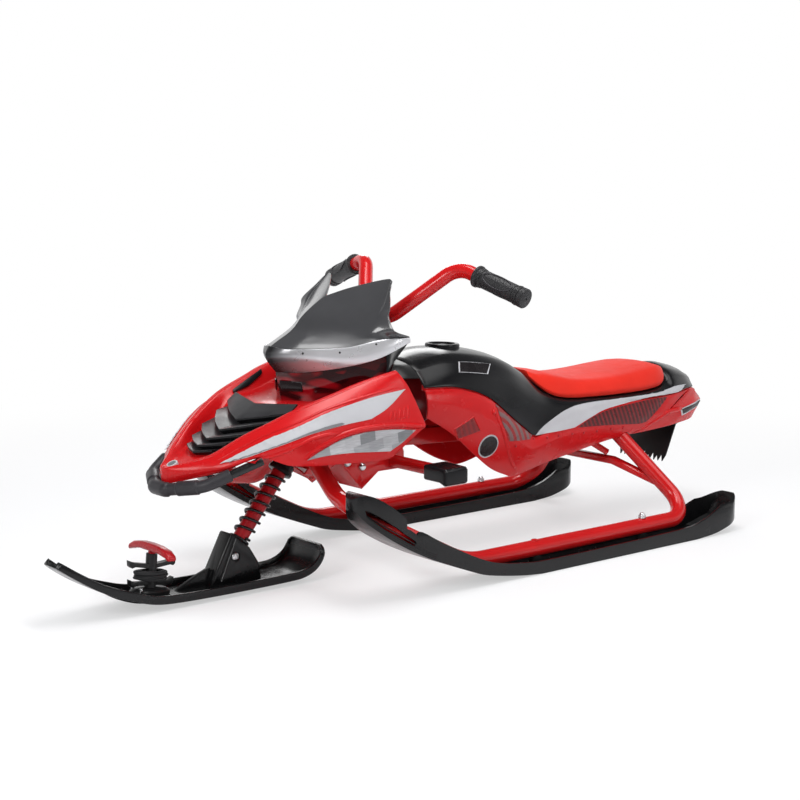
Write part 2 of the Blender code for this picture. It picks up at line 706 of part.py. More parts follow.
def rail_path(side):
    """Centre line of a side rail: front leg, runner and rear leg."""
    x = side * TRACK / 2
    start = Vector((side * (HEAD_TUBE_D / 2 + 0.004), LEG_FRONT.y, LEG_FRONT.z - 0.0015))
    shoulder = Vector((side * LEG_FRONT_SHOULDER[0], *LEG_FRONT_SHOULDER[1:]))
    knee = Vector((x, *LEG_FRONT_KNEE))
    front = Vector((x, RUNNER_FRONT_Y, RUNNER_Z))
    rear = Vector((x, RUNNER_REAR_Y, RUNNER_Z))
    arch = Vector((side * REAR_ARCH[0], REAR_ARCH[1], REAR_ARCH[2]))
    end = Vector((side * (SPINE_W / 2 + GAP), REAR_ARCH[1], REAR_ARCH[2]))
    return bent_path([start, shoulder, knee, front, rear, arch, end], RAIL_BENDS, 5)


def spine_z(y):
    """Height of the spine's centre line at a place along the sled."""
    (y0, z0), (y1, z1) = SPINE_FRONT, SPINE_REAR
    return z0 + (z1 - z0) * (y - y0) / (y1 - y0)


def frame_parts(head_low, head_high):
    """Side rails and the spine, both joined to the head tube."""
    rail = tube("left_side_rail", rail_path(1), FRAME_TUBE_D, "red_steel", 3)
    combine(rail, cylinder("rail_head_clearance", HEAD_TUBE_D / 2 + GAP, HEAD_TUBE_LENGTH + 0.04,
                           column_frame(head_low - 0.02), None, 32, cutters))
    half = SPINE_W / 2
    front = SPINE_FRONT[0] - 0.050
    side = half + GAP
    beside = [(y, spine_z(y) + s * side) for y, s in ((front, -1), (-0.15, -1), (-0.15, 1), (front, 1))]
    combine(rail, side_plate("rail_spine_clearance", beside, -side, side, None))
    rear = SPINE_REAR[0]
    outline = [(front, spine_z(front) - half), (rear, spine_z(rear) - half), (rear, spine_z(rear) + half),
               (front, spine_z(front) + half)]
    spine = side_plate("main_spine", outline, -half, half, "red_steel")
    keep_off = cylinder("spine_head_clearance", HEAD_TUBE_D / 2 + GAP, HEAD_TUBE_LENGTH * 2,
                        column_frame(head_low - HEAD_TUBE_LENGTH / 2), None, 32, cutters)
    ahead = box("spine_front_trim", (0.10, 0.10, 0.30), (0.0, 0.0, 0.0), None)
    ahead.data.transform(Matrix.Translation(column_point(head_low + 0.06, -0.05)) @ Matrix.Rotation(-RAKE, 4, "X"))
    combine(spine, ahead)
    combine(spine, keep_off)
    return spine


def gusset(head_low):
    """Folded V of sheet steel under the front of the spine, behind the head tube."""
    root = column_point(head_low + 0.006, HEAD_TUBE_D / 2)
    rows = []
    for y, z, side_z, top in ((root.y, root.z, 0.158, 0.168), (-0.190, 0.138, 0.156, 0.178), (-0.171, 0.147, 0.164, 0.180)):
        rows.append([Vector((0.0, y, z)), Vector((0.024, y + 0.003, side_z)), Vector((0.032, y + 0.005, top))])
    obj = shell("head_gusset", rows, SHEET, "red_steel", outward=0.0)
    keep_off = cylinder("gusset_head_clearance", HEAD_TUBE_D / 2 + GAP, HEAD_TUBE_LENGTH * 2,
                        column_frame(head_low - HEAD_TUBE_LENGTH / 2), None, 32, cutters)
    return combine(obj, keep_off)


def peg_bracket():
    """Folded channel under the spine that holds the foot peg bar."""
    half = SPINE_W / 2 + GAP + SHEET
    outline = [(-0.160, 0.1960), (-0.160, 0.1680), (-0.118, 0.1220), (-0.086, 0.1450), (-0.042, 0.1450),
               (-0.036, 0.1520), (-0.036, 0.1700), (-0.046, 0.1935)]
    obj = side_plate("peg_bracket", outline, -half - 0.012, half + 0.012, "red_steel")
    fold = SHEET * 1.3
    inside = [(-0.200, 0.250), (-0.200, 0.160), (-0.1600, 0.1680 + fold), (-0.1175, 0.1220 + fold),
              (-0.0868, 0.1450 + fold), (-0.020, 0.1450 + fold), (0.020, 0.250)]
    combine(obj, side_plate("bracket_inside", inside, -half - 0.012 + SHEET, half + 0.012 - SHEET, None))
    web = side_plate("bracket_web", [(-0.150, 0.184), (-0.060, 0.180), (-0.060, 0.1775), (-0.150, 0.1815)],
                     -half - 0.011, half + 0.011, None)
    drop = spine_z(-0.105) - SPINE_W / 2 - GAP - 0.1825
    web.data.transform(Matrix.Translation((0.0, 0.0, drop)))
    combine(obj, web, "UNION")
    spine_room = side_plate("bracket_spine_room", [(y, spine_z(y) + s * (SPINE_W / 2 + GAP)) for y, s in
                            ((-0.3, -1), (0.1, -1), (0.1, 1), (-0.3, 1))], -SPINE_W / 2 - GAP, SPINE_W / 2 + GAP, None)
    combine(obj, spine_room)
    bar = Matrix.Translation((-0.2, PEG_BAR_Y, PEG_BAR_Z)) @ Matrix.Rotation(radians(90), 4, "Y")
    combine(obj, cylinder("bracket_bar_hole", PEG_BAR_D / 2 + GAP, 0.4, bar, None, 24, cutters))
    return obj


def bracket_bolts():
    """Two bolts through the side plates of the peg bracket, below the spine."""
    half = SPINE_W / 2 + GAP + SHEET + 0.012
    for name, y, z in (("bracket_bolt_front", -0.146, 0.1655), ("bracket_bolt_rear", -0.118, 0.1560)):
        place = Matrix.Translation((0.0, y, z)) @ Matrix.Rotation(radians(90), 4, "Y")
        reach = half + GAP
        profile = [(0.0, -reach - 0.006), (0.0045, -reach - 0.006), (0.0045, -reach), (0.0028, -reach), (0.0028, reach),
                   (0.0062, reach), (0.0062, reach + 0.0015), (0.0046, reach + 0.0045), (0.0, reach + 0.0045)]
        turned(name, profile, place, "zinc", 12)
        hole = cylinder(name + "_hole", 0.0028 + GAP, 0.1, Matrix.Translation((-0.05, 0, 0)) @ place, None, 12, cutters)
        combine(bpy.data.objects["peg_bracket"], hole)


def foot_pegs():
    """Peg bar across the sled and a ribbed rubber block on each end."""
    z = PEG_BAR_Z
    reach = PEG_BAR_LENGTH / 2
    bar_frame = Matrix.Translation((-reach, PEG_BAR_Y, z)) @ Matrix.Rotation(radians(90), 4, "Y")
    cylinder("foot_peg_bar", PEG_BAR_D / 2, PEG_BAR_LENGTH, bar_frame, "red_steel", 20)
    for side, name in ((1, "left_foot_peg"), (-1, "right_foot_peg")):
        width, depth, height = PEG_SIZE
        centre = Vector((side * (reach + PEG_OVER - width / 2), PEG_BAR_Y - 0.002, z))
        low = -height / 2
        section = [(-width / 2, low - 0.0010), (width * 0.18, low - 0.0010), (width / 2 - 0.006, low - 0.0050),
                   (width / 2, low - 0.0030), (width / 2, height / 2 - 0.003), (width / 2 - 0.004, height / 2 + 0.0008),
                   (-width / 2, height / 2 + 0.0020)]
        section = [(side * x + centre.x, -(h + z)) for x, h in section]
        peg = plan_plate(name, section, centre.y - depth / 2, centre.y + depth / 2, "black_rubber")
        peg.data.transform(Matrix.Rotation(radians(-90), 4, "X"))
        bevel(peg, 0.0025, 2, 50)
        baked(peg)
        for k in range(4):
            y = centre.y - depth / 2 + depth * (k + 0.9) / 4.8
            rib = box("peg_groove", (width * 0.84, 0.003, 0.003), (centre.x, y, centre.z + height / 2 + 0.0015), None)
            combine(peg, rib)
        start = min(side * (reach + GAP), side * 0.05)
        bore = Matrix.Translation((start, PEG_BAR_Y, z)) @ Matrix.Rotation(radians(90), 4, "Y")
        combine(peg, cylinder("peg_bore", PEG_BAR_D / 2 + GAP, reach + GAP - 0.05, bore, None, 20, cutters))


def cross_brace():
    """Bent bar between the rear legs, with a strut from each bend up to the spine."""
    depth = 0.014
    height = 0.012
    bend = Vector((0.062, 0.388, 0.110))
    foot = Vector((TRACK / 2, RUNNER_REAR_Y, RUNNER_Z)).lerp(Vector(REAR_ARCH), 0.36)
    foot.z -= 0.002
    line = [Vector((-foot.x, foot.y, foot.z)), Vector((-bend.x, bend.y, bend.z)), bend, foot]
    loops = []
    for point in line:
        loops.append([point + Vector((0.0, dy, dz)) for dy, dz in
                      ((-depth / 2, -height / 2), (depth / 2, -height / 2), (depth / 2, height / 2),
                       (-depth / 2, height / 2))])
    brace = loft("rear_cross_brace", loops, "red_steel")
    bevel(brace, 0.002, 1, 40)
    baked(brace)
    for side in (1, -1):
        combine(brace, tube("brace_rail_clearance", rail_path(side), FRAME_TUBE_D + 2 * GAP, None, 3))
    for side, name in ((1, "left_brace_strut"), (-1, "right_brace_strut")):
        low = Vector((side * 0.052, bend.y - 0.004, bend.z + height / 2 + GAP + 0.006))
        high = Vector((side * (SPINE_W / 2 + GAP + 0.0055), 0.318, spine_z(0.318)))
        tube(name, [low, high], 0.012, "red_steel", 1)


# Rear skis

SKI_UNDER = [                   # y, z along the underside, from the tip to the tail
    (-0.271, 0.1490), (-0.266, 0.1360), (-0.255, 0.1205), (-0.227, 0.0985), (-0.190, 0.0765), (-0.150, 0.0570),
    (-0.115, 0.0425), (-0.072, 0.0260), (-0.038, 0.0150), (0.024, 0.0045), (0.070, 0.0000), (0.420, 0.0000),
    (0.462, 0.0035), (0.496, 0.0130), (0.520, 0.0270), (0.536, 0.0450),
]
SKI_RIM = [                     # y, z along the wall's top, from the tail back to the end of the tip loop
    (0.536, 0.0580), (0.518, 0.0580), (0.490, 0.0520), (0.450, 0.0410), (0.410, 0.0330), (0.370, 0.0285),
    (0.106, 0.0265), (0.040, 0.0280), (-0.017, 0.0350), (-0.056, 0.0460), (-0.101, 0.0650), (-0.133, 0.0800),
    (-0.165, 0.0980), (-0.174, 0.0950),
]
SKI_HOOK = [                    # y, z over the tip loop, from its rear end forward to the tip
    (-0.187, 0.1040), (-0.1935, 0.1080), (-0.1950, 0.1210), (-0.221, 0.1420), (-0.248, 0.1580), (-0.262, 0.1590),
    (-0.270, 0.1545),
]
SKI_SLOT = [                    # opening between the blade and the loop: lower edge then upper edge, y and z
    (-0.256, 0.1310), (-0.227, 0.1070), (-0.195, 0.0875), (-0.180, 0.0805), (-0.177, 0.0860), (-0.196, 0.0990),
    (-0.207, 0.1075), (-0.227, 0.1210), (-0.248, 0.1350), (-0.258, 0.1400),
]
SKI_TIP_REACH = 0.060           # length of the rounded tip in plan


def ski_plan(x, half, front, rear, front_reach, rear_reach):
    """Plan outline of a ski with an elliptical front and rear, as (x, y) points."""
    outline = []
    for k in range(11):
        angle = pi * k / 10
        outline.append((x + half * cos(angle), rear - rear_reach + rear_reach * sin(angle)))
    for k in range(13):
        angle = pi + pi * k / 12
        outline.append((x + half * cos(angle), front + front_reach + front_reach * sin(angle)))
    return outline


def rear_ski():
    """Channel-shaped left ski: outline made wide, rounded in plan, hollowed and slotted at its tip."""
    x = TRACK / 2
    half = SKI_W / 2
    outline = SKI_UNDER + SKI_RIM + SKI_HOOK
    ski = side_plate("left_rear_ski", outline, x - half - 0.01, x + half + 0.01, "black_plastic")
    plan = ski_plan(x, half, SKI_UNDER[0][0] + 0.0005, SKI_TAIL_Y, SKI_TIP_REACH, 0.042)
    combine(ski, plan_plate("ski_plan", plan, -0.05, 0.25, None), "INTERSECT")
    bevel(ski, 0.003, 1, 50)
    baked(ski)
    floor = [(y, z + SKI_FLOOR) for y, z in SKI_UNDER if -0.20 < y < 0.51]
    inner = floor + [(0.512, 0.0290), (0.522, 0.0500), (0.522, 0.20), (-0.14, 0.20), (-0.20, 0.1105), (-0.222, 0.1240),
                     (-0.236, 0.1200)]
    channel = side_plate("ski_channel", inner, x - half, x + half, None)
    hollow = ski_plan(x, half - SKI_WALL, -0.2400, SKI_TAIL_Y - SKI_WALL, SKI_TIP_REACH - 0.010, 0.038)
    combine(channel, plan_plate("channel_plan", hollow, -0.1, 0.3, None), "INTERSECT")
    combine(ski, channel)
    combine(ski, side_plate("tip_slot", SKI_SLOT, x - half - 0.01, x + half + 0.01, None))
    combine(ski, tube("ski_leg_entry", rail_path(1), FRAME_TUBE_D + 2 * GAP, None, 3))
    return ski


def ski_bolts():
    """Cap nuts that hold the left runner tube down on two pads of its ski."""
    ski = bpy.data.objects["left_rear_ski"]
    rail = bpy.data.objects["left_side_rail"]
    shank = 0.0028
    floor = SKI_FLOOR + GAP
    for y, end in ((0.321, "rear"), (0.085, "front")):
        radius = FRAME_TUBE_D / 2
        place = Matrix.Translation((TRACK / 2, y, RUNNER_Z))
        top = radius + GAP
        profile = [(0.0, floor - RUNNER_Z), (shank, floor - RUNNER_Z), (shank, top), (0.0062, top), (0.0062, top + 0.0045),
                   (0.0042, top + 0.0075), (0.0, top + 0.0088)]
        name = "left_ski_bolt_" + end
        turned(name, profile, place, "zinc", 12)
        hole = cylinder(name + "_hole", shank + GAP, 0.08, place @ Matrix.Translation((0, 0, -0.04)), None, 12, cutters)
        combine(rail, hole)
        low = floor - 0.001
        pad = cylinder("ski_pad_" + end, 0.0085, RUNNER_Z - radius * 0.80 - low,
                       place @ Matrix.Translation((0, 0, low - RUNNER_Z)), None, 14)
        combine(pad, cylinder("pad_saddle", radius + GAP, 0.05, Matrix.Translation((TRACK / 2, y + 0.025, RUNNER_Z))
                              @ Matrix.Rotation(radians(90), 4, "X"), None, 32, cutters))
        combine(ski, pad, "UNION")
        well = cylinder(name + "_well", shank + GAP, 0.05, place @ Matrix.Translation((0, 0, floor - RUNNER_Z - GAP)), None,
                        12, cutters)
        combine(ski, well)


# Front bodywork

COWL_STATIONS = [
    # each row runs from the middle out: deck middle, deck edge, crest inner, crest outer, upper crease,
    # lower ridge, pocket, lower edge
    [(0, -449, 191), (0, -449, 191), (0, -450, 190.5), (0, -450, 190), (0, -450, 187), (0, -450, 181), (0, -449, 175),
     (0, -448, 171)],
    [(0, -447, 192), (5, -447, 192), (9, -446, 193), (12, -445, 192), (15, -444, 189), (16, -443, 182), (14, -443, 176),
     (12, -443, 171)],
    [(0, -424, 194), (16, -423, 195), (27, -421, 202), (33, -420, 201), (42, -419, 196), (48, -417, 190), (46, -416, 184),
     (42, -416, 180)],
    [(0, -403, 200), (32, -400, 200), (46, -398, 212), (54, -397, 211), (67, -396, 205), (77, -394, 198), (76, -393, 194),
     (72, -393, 191)],
    [(0, -366, 210), (55, -362, 214), (65, -360, 236), (74, -359, 235), (92, -357, 227), (103, -356, 214),
     (102, -355, 210), (99, -355, 208)],
    [(0, -330, 222), (70, -326, 228), (82, -324, 254), (92, -323, 253), (112, -321, 243), (124, -320, 226),
     (120, -319, 210), (118, -319, 196)],
    [(0, -304, 238), (80, -298, 244), (93, -294, 268), (103, -293, 267), (121, -290, 255), (132, -288, 232),
     (125, -287, 212), (124, -287, 192)],
    [(0, -296, 262), (86, -270, 262), (101, -266, 278), (111, -264, 277), (127, -262, 264), (136, -260, 235),
     (128, -259, 212), (126, -258, 190)],
    [(0, -256, 268), (92, -238, 266), (107, -234, 288), (117, -232, 287), (131, -230, 273), (140, -228, 238),
     (131, -227, 212), (129, -226, 189)],
    [(0, -200, 262), (99, -202, 274), (115, -198, 300), (124, -197, 298), (135, -196, 283), (144, -194, 241),
     (134, -192, 212), (132, -191, 188)],
    [(0, -190, 262), (105, -164, 286), (121, -160, 309), (129, -160, 307), (137, -160, 291), (147, -152, 243),
     (137, -152, 213), (133, -152, 188)],
    [(0, -180, 262), (110, -140, 298), (125, -135, 314), (131, -134, 311), (138, -120, 290), (148, -95, 232),
     (142, -113, 216), (135, -130, 200)],
]


def millimetres(rows):
    """Rows of (x, y, z) in millimetres as points in metres."""
    return [[Vector(p) * 0.001 for p in row] for row in rows]


COLUMN_WINDOW = 0.040           # half width of the opening in the deck that the column passes


def cowl():
    """Nose cowl: a deck between two ridged arms that spread to the rear."""
    rows = []
    for middle, edge, *arm in millimetres(COWL_STATIONS):
        beside = middle.lerp(edge, COLUMN_WINDOW / max(edge.x, 2 * COLUMN_WINDOW))
        rows.append([middle, beside, edge, *arm])
    deck_end = 8

    def open_cell(i, j):
        return j == 0 and i >= deck_end

    return shell("cowl", rows, SHELL, "red_plastic", skip=open_cell)


def louvre_insert():
    """Five stepped chevron fins in the recess of the cowl's deck."""
    fins = [  # apex y and z, outer end x, y and z, all of the lower front edge
        (-399, 202, 32, -388, 207), (-391, 210, 43, -372, 216), (-376, 218, 56, -346, 228), (-354, 228, 69, -312, 243),
        (-325, 240, 77, -287, 254)]
    rows = []
    for k, (apex_y, apex_z, x, y, z) in enumerate(fins):
        rise = 7
        last = k == len(fins) - 1
        next_fin = fins[k + 1] if not last else (-311, 245, 77, -292, 251)
        for share, height in ((0.0, 0), (0.06, rise)):
            rows.append([(0, apex_y + 2 * share, apex_z + height), (x * 0.5, (apex_y * 0.62 + y * 0.38) + 2 * share,
                         (apex_z * 0.5 + z * 0.5) + height), (x, y + 2 * share, z + height)])
        rows.append([(0, next_fin[0] - 1, next_fin[1] - 0.5), (next_fin[2] * 0.5, (next_fin[0] * 0.62 + next_fin[3] * 0.38) - 1,
                     (next_fin[1] * 0.5 + next_fin[4] * 0.5) - 0.5), (next_fin[2] - 1, next_fin[3] - 1, next_fin[4] - 0.5)])
    return shell("louvre_insert", millimetres(rows), 0.0022, "gloss_black")


def cowl_point(row, column):
    """Point on the cowl's surface between its station points, for x >= 0."""
    rows = millimetres(COWL_STATIONS)
    i, j = int(row), int(column)
    s, t = row - i, column - j
    near = rows[i][j].lerp(rows[i][j + 1], t)
    far = rows[i + 1][j].lerp(rows[i + 1][j + 1], t)
    return near.lerp(far, s)


def side_intakes():
    """Black slanted trims on the inner slopes of the cowl's arms."""
    for side, name in ((1, "left_intake_trim"), (-1, "right_intake_trim")):
        sections = []
        for row, low, high in ((7.05, 1.30, 1.55), (8.0, 1.34, 1.78), (8.9, 1.60, 1.86)):
            inner, outer = cowl_point(row, low), cowl_point(row, high)
            normal = (outer - inner).cross(cowl_point(row + 0.05, low) - inner).normalized()
            layers = (inner + normal * 0.0010, outer + normal * 0.0010, outer + normal * 0.0030, inner + normal * 0.0030)
            sections.append([(side * p.x, p.y, p.z) for p in layers])
        loft(name, sections, "gloss_black")


WINDSHIELD_ROWS = [
    # each row runs from the middle out to the side edge
    [(0, -259, 312), (30, -234, 316), (75, -187, 330), (100, -144, 341), (112, -97, 351)],
    [(0, -262, 332), (30, -237, 335), (75, -185, 344), (101, -142, 352), (114, -99, 358)],
    [(0, -246, 348), (30, -224, 351), (76, -172, 353), (98, -143, 359), (118, -124, 364)],
    [(0, -226, 366), (30, -203, 368), (77, -158, 369), (96, -143, 370), (116, -131, 371)],
    [(0, -208, 384), (30, -183, 388), (78, -142, 390), (92, -136, 389), (105, -131, 389)],
    [(0, -186, 400), (29, -160, 406), (79, -124, 411), (92, -126, 406), (104, -128, 401)],
    [(0, -163, 413), (28, -136, 426), (70, -103, 439), (80, -105, 434), (89, -110, 428)],
]


def windshield():
    """Glossy double-lobed screen with a flared skirt."""
    rows = [spline(row, 2) for row in millimetres(WINDSHIELD_ROWS)]
    columns = list(zip(*rows))
    skirt = 1
    lines = [list(column[:skirt]) + spline(column[skirt:], 2) for column in columns]
    return shell("windshield", [list(row) for row in zip(*lines)], 0.0025, "gloss_black")


HOUSING_FOOT = ((8.2, 0.0), (8.5, 0.40), (9.55, 0.72), (10.5, 0.91))   # row and column on the cowl's deck
HOUSING_SEAT = 0.0022           # foot of the housing above the deck's surface


def headlights():
    """Housing between the cowl's deck and the windshield, with two lenses."""
    foot = [cowl_point(row, column) + Vector((0.0, 0.0, HOUSING_SEAT)) for row, column in HOUSING_FOOT]
    rows = millimetres([
        [(0, -250, 288), (40, -226, 290), (76, -184, 302), (99, -146, 313), (112, -127, 320)],
        [(0, -254.6, 306), (31, -229.6, 310), (74, -182.4, 325), (96.6, -139.6, 337), (108.6, -114.6, 342)],
        [(0, -254.2, 313), (30, -229.4, 317), (72, -180.9, 331), (93.0, -138.0, 343), (103.4, -108, 348)],
    ])
    foot.append(Vector((0.1152, -0.1380, 0.3043)))
    shell("headlight_housing", [foot] + rows, 0.003, "dark_red_plastic")
    for side, name in ((1, "left_headlight_lens"), (-1, "right_headlight_lens")):
        outer = [(6, -247.4, 280), (34, -230, 281), (32, -230.5, 295), (5, -249.2, 296)]
        layers = [[(side * x * 0.001, (y - depth) * 0.001, z * 0.001) for x, y, z in outer] for depth in (0.9, 2.9)]
        loft(name, layers, "lens")


def bumper():
    """Bent tube round the nose with a rubber sleeve on its front."""
    radii = [0.036, 0.010, 0.010, 0.036]
    half = [BUMPER_END, BUMPER_SIDE, BUMPER_NOSE]
    corners = half + [Vector((-p.x, p.y, p.z)) for p in reversed(half)]
    tube("bumper_tube", bent_path(corners, radii, 3), BUMPER_D, "black_steel", 2)
    longer = half[0] + (half[0] - half[1]).normalized() * 0.004
    corners = [longer] + corners[1:-1] + [Vector((-longer.x, longer.y, longer.z))]
    room = bent_path(corners, radii, 3)
    front = [half[1].lerp(half[0], SLEEVE_SHARE), half[1], half[2]]
    sleeve_line = bent_path(front + [Vector((-p.x, p.y, p.z)) for p in reversed(front)], radii, 3)
    sleeve = tube("bumper_sleeve", sleeve_line, SLEEVE_D, "black_rubber", 3)
    combine(sleeve, tube("sleeve_bore", room, BUMPER_D + 2 * GAP, None, 2))
    front[0] = half[1].lerp(half[0], SLEEVE_SHARE + 0.004)
    sleeve_room = bent_path(front + [Vector((-p.x, p.y, p.z)) for p in reversed(front)], radii, 3)
    combine(bpy.data.objects["cowl"], tube("cowl_tube_notch", room, BUMPER_D + 2 * GAP, None, 2))
    combine(bpy.data.objects["cowl"], tube("cowl_sleeve_notch", sleeve_room, SLEEVE_D + 2 * GAP, None, 3))


# Body

BODY_LINES = {                  # lines along the body, x, y and z in millimetres, front to rear
    "crown": [(0, -42, 312), (0, 20, 322), (0, 80, 319), (0, 140, 306), (0, 186, 284), (0, 222, 258), (0, 262, 230),
              (0, 320, 224), (0, 400, 222), (0, 480, 224), (0, 514, 232), (0, 530, 256), (0, 572, 250), (0, 606, 236),
              (0, 618, 224)],
    "shoulder": [(50, -42, 305), (54, 20, 315), (56, 80, 311), (55, 140, 297), (53, 186, 274), (54, 222, 246),
                 (60, 262, 228), (66, 320, 223), (66, 400, 221), (62, 480, 223), (52, 514, 229), (46, 531, 246),
                 (40, 572, 241), (30, 604, 230), (20, 617, 221)],
    "edge": [(72, -42, 288), (78, 20, 293), (81, 80, 284), (81, 140, 266), (78, 186, 240), (77, 222, 226),
             (79, 262, 222), (81, 320, 220), (80, 400, 219), (76, 480, 220), (69, 514, 224), (64, 534, 230),
             (53, 574, 226), (38, 602, 221), (26, 616, 214)],
    "belt": [(82, -42, 275), (88, 20, 270), (90, 80, 250), (87, 130, 215), (84, 165, 191), (83, 192, 177),
             (84, 250, 196), (85, 320, 208), (85, 400, 212), (81, 476, 212), (76, 508, 212), (72, 534, 213),
             (60, 574, 214), (46, 600, 212), (30, 617, 208)],
    "crease": [(90, -42, 256), (95, 20, 240), (96, 80, 214), (94, 128, 186), (90, 160, 166), (87, 186, 158),
               (86, 250, 170), (86, 320, 174), (85, 385, 176), (84, 430, 179), (82, 456, 180), (81, 476, 181),
               (79, 500, 182)],
    "sill": [(88, -42, 229), (86, 10, 199), (80, 60, 161), (72, 100, 134), (66, 134, 119), (65, 161, 113),
             (67, 226, 126), (73, 290, 138), (75, 340, 146), (76, 372, 150), (77, 388, 151), (77, 400, 152),
             (77, 414, 153)],
}


def body_line(name, steps=2):
    return spline([Vector(p) * 0.001 for p in BODY_LINES[name]], steps)


def top_cover():
    """Black upper shell: tank, seat base and tail top."""
    names = ("crown", "shoulder", "edge", "belt")
    return shell("top_cover", [list(row) for row in zip(*[body_line(n) for n in names])], SHELL, "gloss_black")


def side_panels():
    """Red lower side panels with a crease along them, cut round the rear legs."""
    belt = body_line("belt")
    crease = body_line("crease")
    sill = body_line("sill")
    for side, name in ((1, "left_side_panel"), (-1, "right_side_panel")):
        drop = Vector((-0.0004, 0.0, -(SHELL + GAP)))
        rows = [[b + drop, c, s] for b, c, s in zip(belt, crease, sill)]
        rows = [[Vector((side * p.x, p.y, p.z)) for p in row] for row in rows]
        panel = shell(name, rows, SHELL, "red_plastic", mirror=False, flip=side < 0)
        combine(panel, tube("panel_leg_room", rail_path(side), FRAME_TUBE_D + 4 * GAP, None, 3))


def tail_piece():
    """Red shell that wraps round the rear end of the body."""
    rows = [
        [(59.6, 577.0, 210.6), (78.4, 502.5, 181.6), (77, 417, 152.5)],
        [(50, 598, 208), (73, 545, 183), (75, 470, 154)],
        [(40, 612, 206), (65, 590, 186), (70, 534, 157)],
        [(22, 624, 204), (44, 625, 189), (52, 592, 160)],
        [(0, 627, 203), (0, 633, 190), (0, 606, 162)],
    ]
    rows = millimetres(rows)
    fine = [spline(column, 2) for column in zip(*rows)]
    return shell("tail_piece", [list(row) for row in zip(*fine)], SHELL, "red_plastic")


def fuel_cap():
    """Turned filler cap with a raised ring, set in a round hole of the top cover."""
    place = Matrix.Translation((0.0, 0.064, 0.3195)) @ Matrix.Rotation(radians(-2.0), 4, "X")
    profile = [(0.0, -0.006), (0.0270, -0.006), (0.0270, 0.0042), (0.0258, 0.0056), (0.0215, 0.0056), (0.0205, 0.0030),
               (0.0, 0.0030)]
    turned("fuel_cap", profile, place, "gloss_black", 24)
    hole = cylinder("fuel_cap_hole", 0.0270 + GAP, 0.04, place @ Matrix.Translation((0, 0, -0.02)), None, 24, cutters)
    combine(bpy.data.objects["top_cover"], hole)


SEAT_LINE = [                   # top z, half width and height of the side, in millimetres, front to rear
    (270.0, 48, 3.0), (272.0, 60, 5.0), (270.5, 68, 8.0), (266.0, 72, 10.0), (260.0, 76, 11.0), (256.0, 78, 12.0),
    (254.5, 79, 13.0), (256.0, 79, 13.0), (259.5, 78, 13.0), (262.5, 73, 13.0), (262.0, 66, 12.0), (258.5, 56, 12.0)]
SEAT_EDGE = 0.0025              # least height of the pad, at its front edge
SEAT_LIFT = 0.0030              # underside above the cover's surface lines


def seat_cushion():
    """Crowned pad that follows the top cover underneath."""
    crown, shoulder, edge = (body_line(n) for n in ("crown", "shoulder", "edge"))
    first = 9
    lift = Vector((0.0, 0.0, SEAT_LIFT))
    sections = []
    for k, (top, half, side) in enumerate(SEAT_LINE):
        c, s, e = (line[first + k] + lift for line in (crown, shoulder, edge))
        top, half, side = max(top * 0.001, c.z + SEAT_EDGE), half * 0.001, side * 0.001
        reach = half * 0.94
        base = [c.lerp(s, reach / s.x)] if reach < s.x else [s, s.lerp(e, (reach - s.x) / (e.x - s.x))]
        foot = base[-1]
        section = [Vector((0.0, c.y, top)), Vector((half * 0.55, c.y, top - 0.002)),
                   Vector((half * 0.86, foot.y, top * 0.70 + (foot.z + side) * 0.30)),
                   Vector((half, foot.y, foot.z + side * 0.8)),
                   foot + Vector(((half - reach) * 0.6, 0.0, side * 0.25)), foot]
        if len(base) == 1:
            section.append(c.lerp(s, 0.5 * reach / s.x))
        else:
            section.append(s)
        section.append(c)
        sections.append(mirrored([tuple(p) for p in section]))
    return loft("seat_cushion", sections, "orange_foam")


def snow_flap():
    """Hanging plate with a toothed lower edge, held between the walls of the tail piece."""
    top_y, top_z = 0.552, 0.168
    low_y, low_z = 0.522, 0.089
    teeth = 11
    half_top, half_low = 0.0645, 0.053
    outline = [(-half_top, 0.0), (half_top, 0.0), (half_top - 0.001, 0.12), (0.0560, 0.20)]
    for k in range(teeth * 2 + 1):
        x = half_low - 2 * half_low * k / (teeth * 2)
        outline.append((x, 1.0 if k % 2 else 0.86 + 0.04 * sin(k * 1.7)))
    outline += [(-0.0560, 0.20), (-half_top + 0.001, 0.12)]
    rings = []
    for thick in (0.0, 0.003):
        rings.append([Vector((x, top_y + (low_y - top_y) * t + thick, top_z + (low_z - top_z) * t)) for x, t in outline])
    return loft("snow_flap", rings, "black_rubber")


def other_side(source):
    """Right-hand twin of a left-hand part."""
    mesh = bpy.data.objects[source].data.copy()
    mesh.transform(Matrix.Diagonal((-1.0, 1.0, 1.0, 1.0)))
    mesh.flip_normals()
    twin = bpy.data.objects.new(source.replace("left", "right"), mesh)
    sled.objects.link(twin)
    mesh.name = twin.name
    return twin


def bulkhead(name, half_outline, y, look):
    """Upright plate across the body, from its left half outline of (x, z) points in millimetres."""
    outline = half_outline + [(-x, z) for x, z in reversed(half_outline) if x > 0.0]
    layers = [[(x * 0.001, y + depth, z * 0.001) for x, z in outline] for depth in (0.0, SHEET)]
    return loft(name, layers, look)


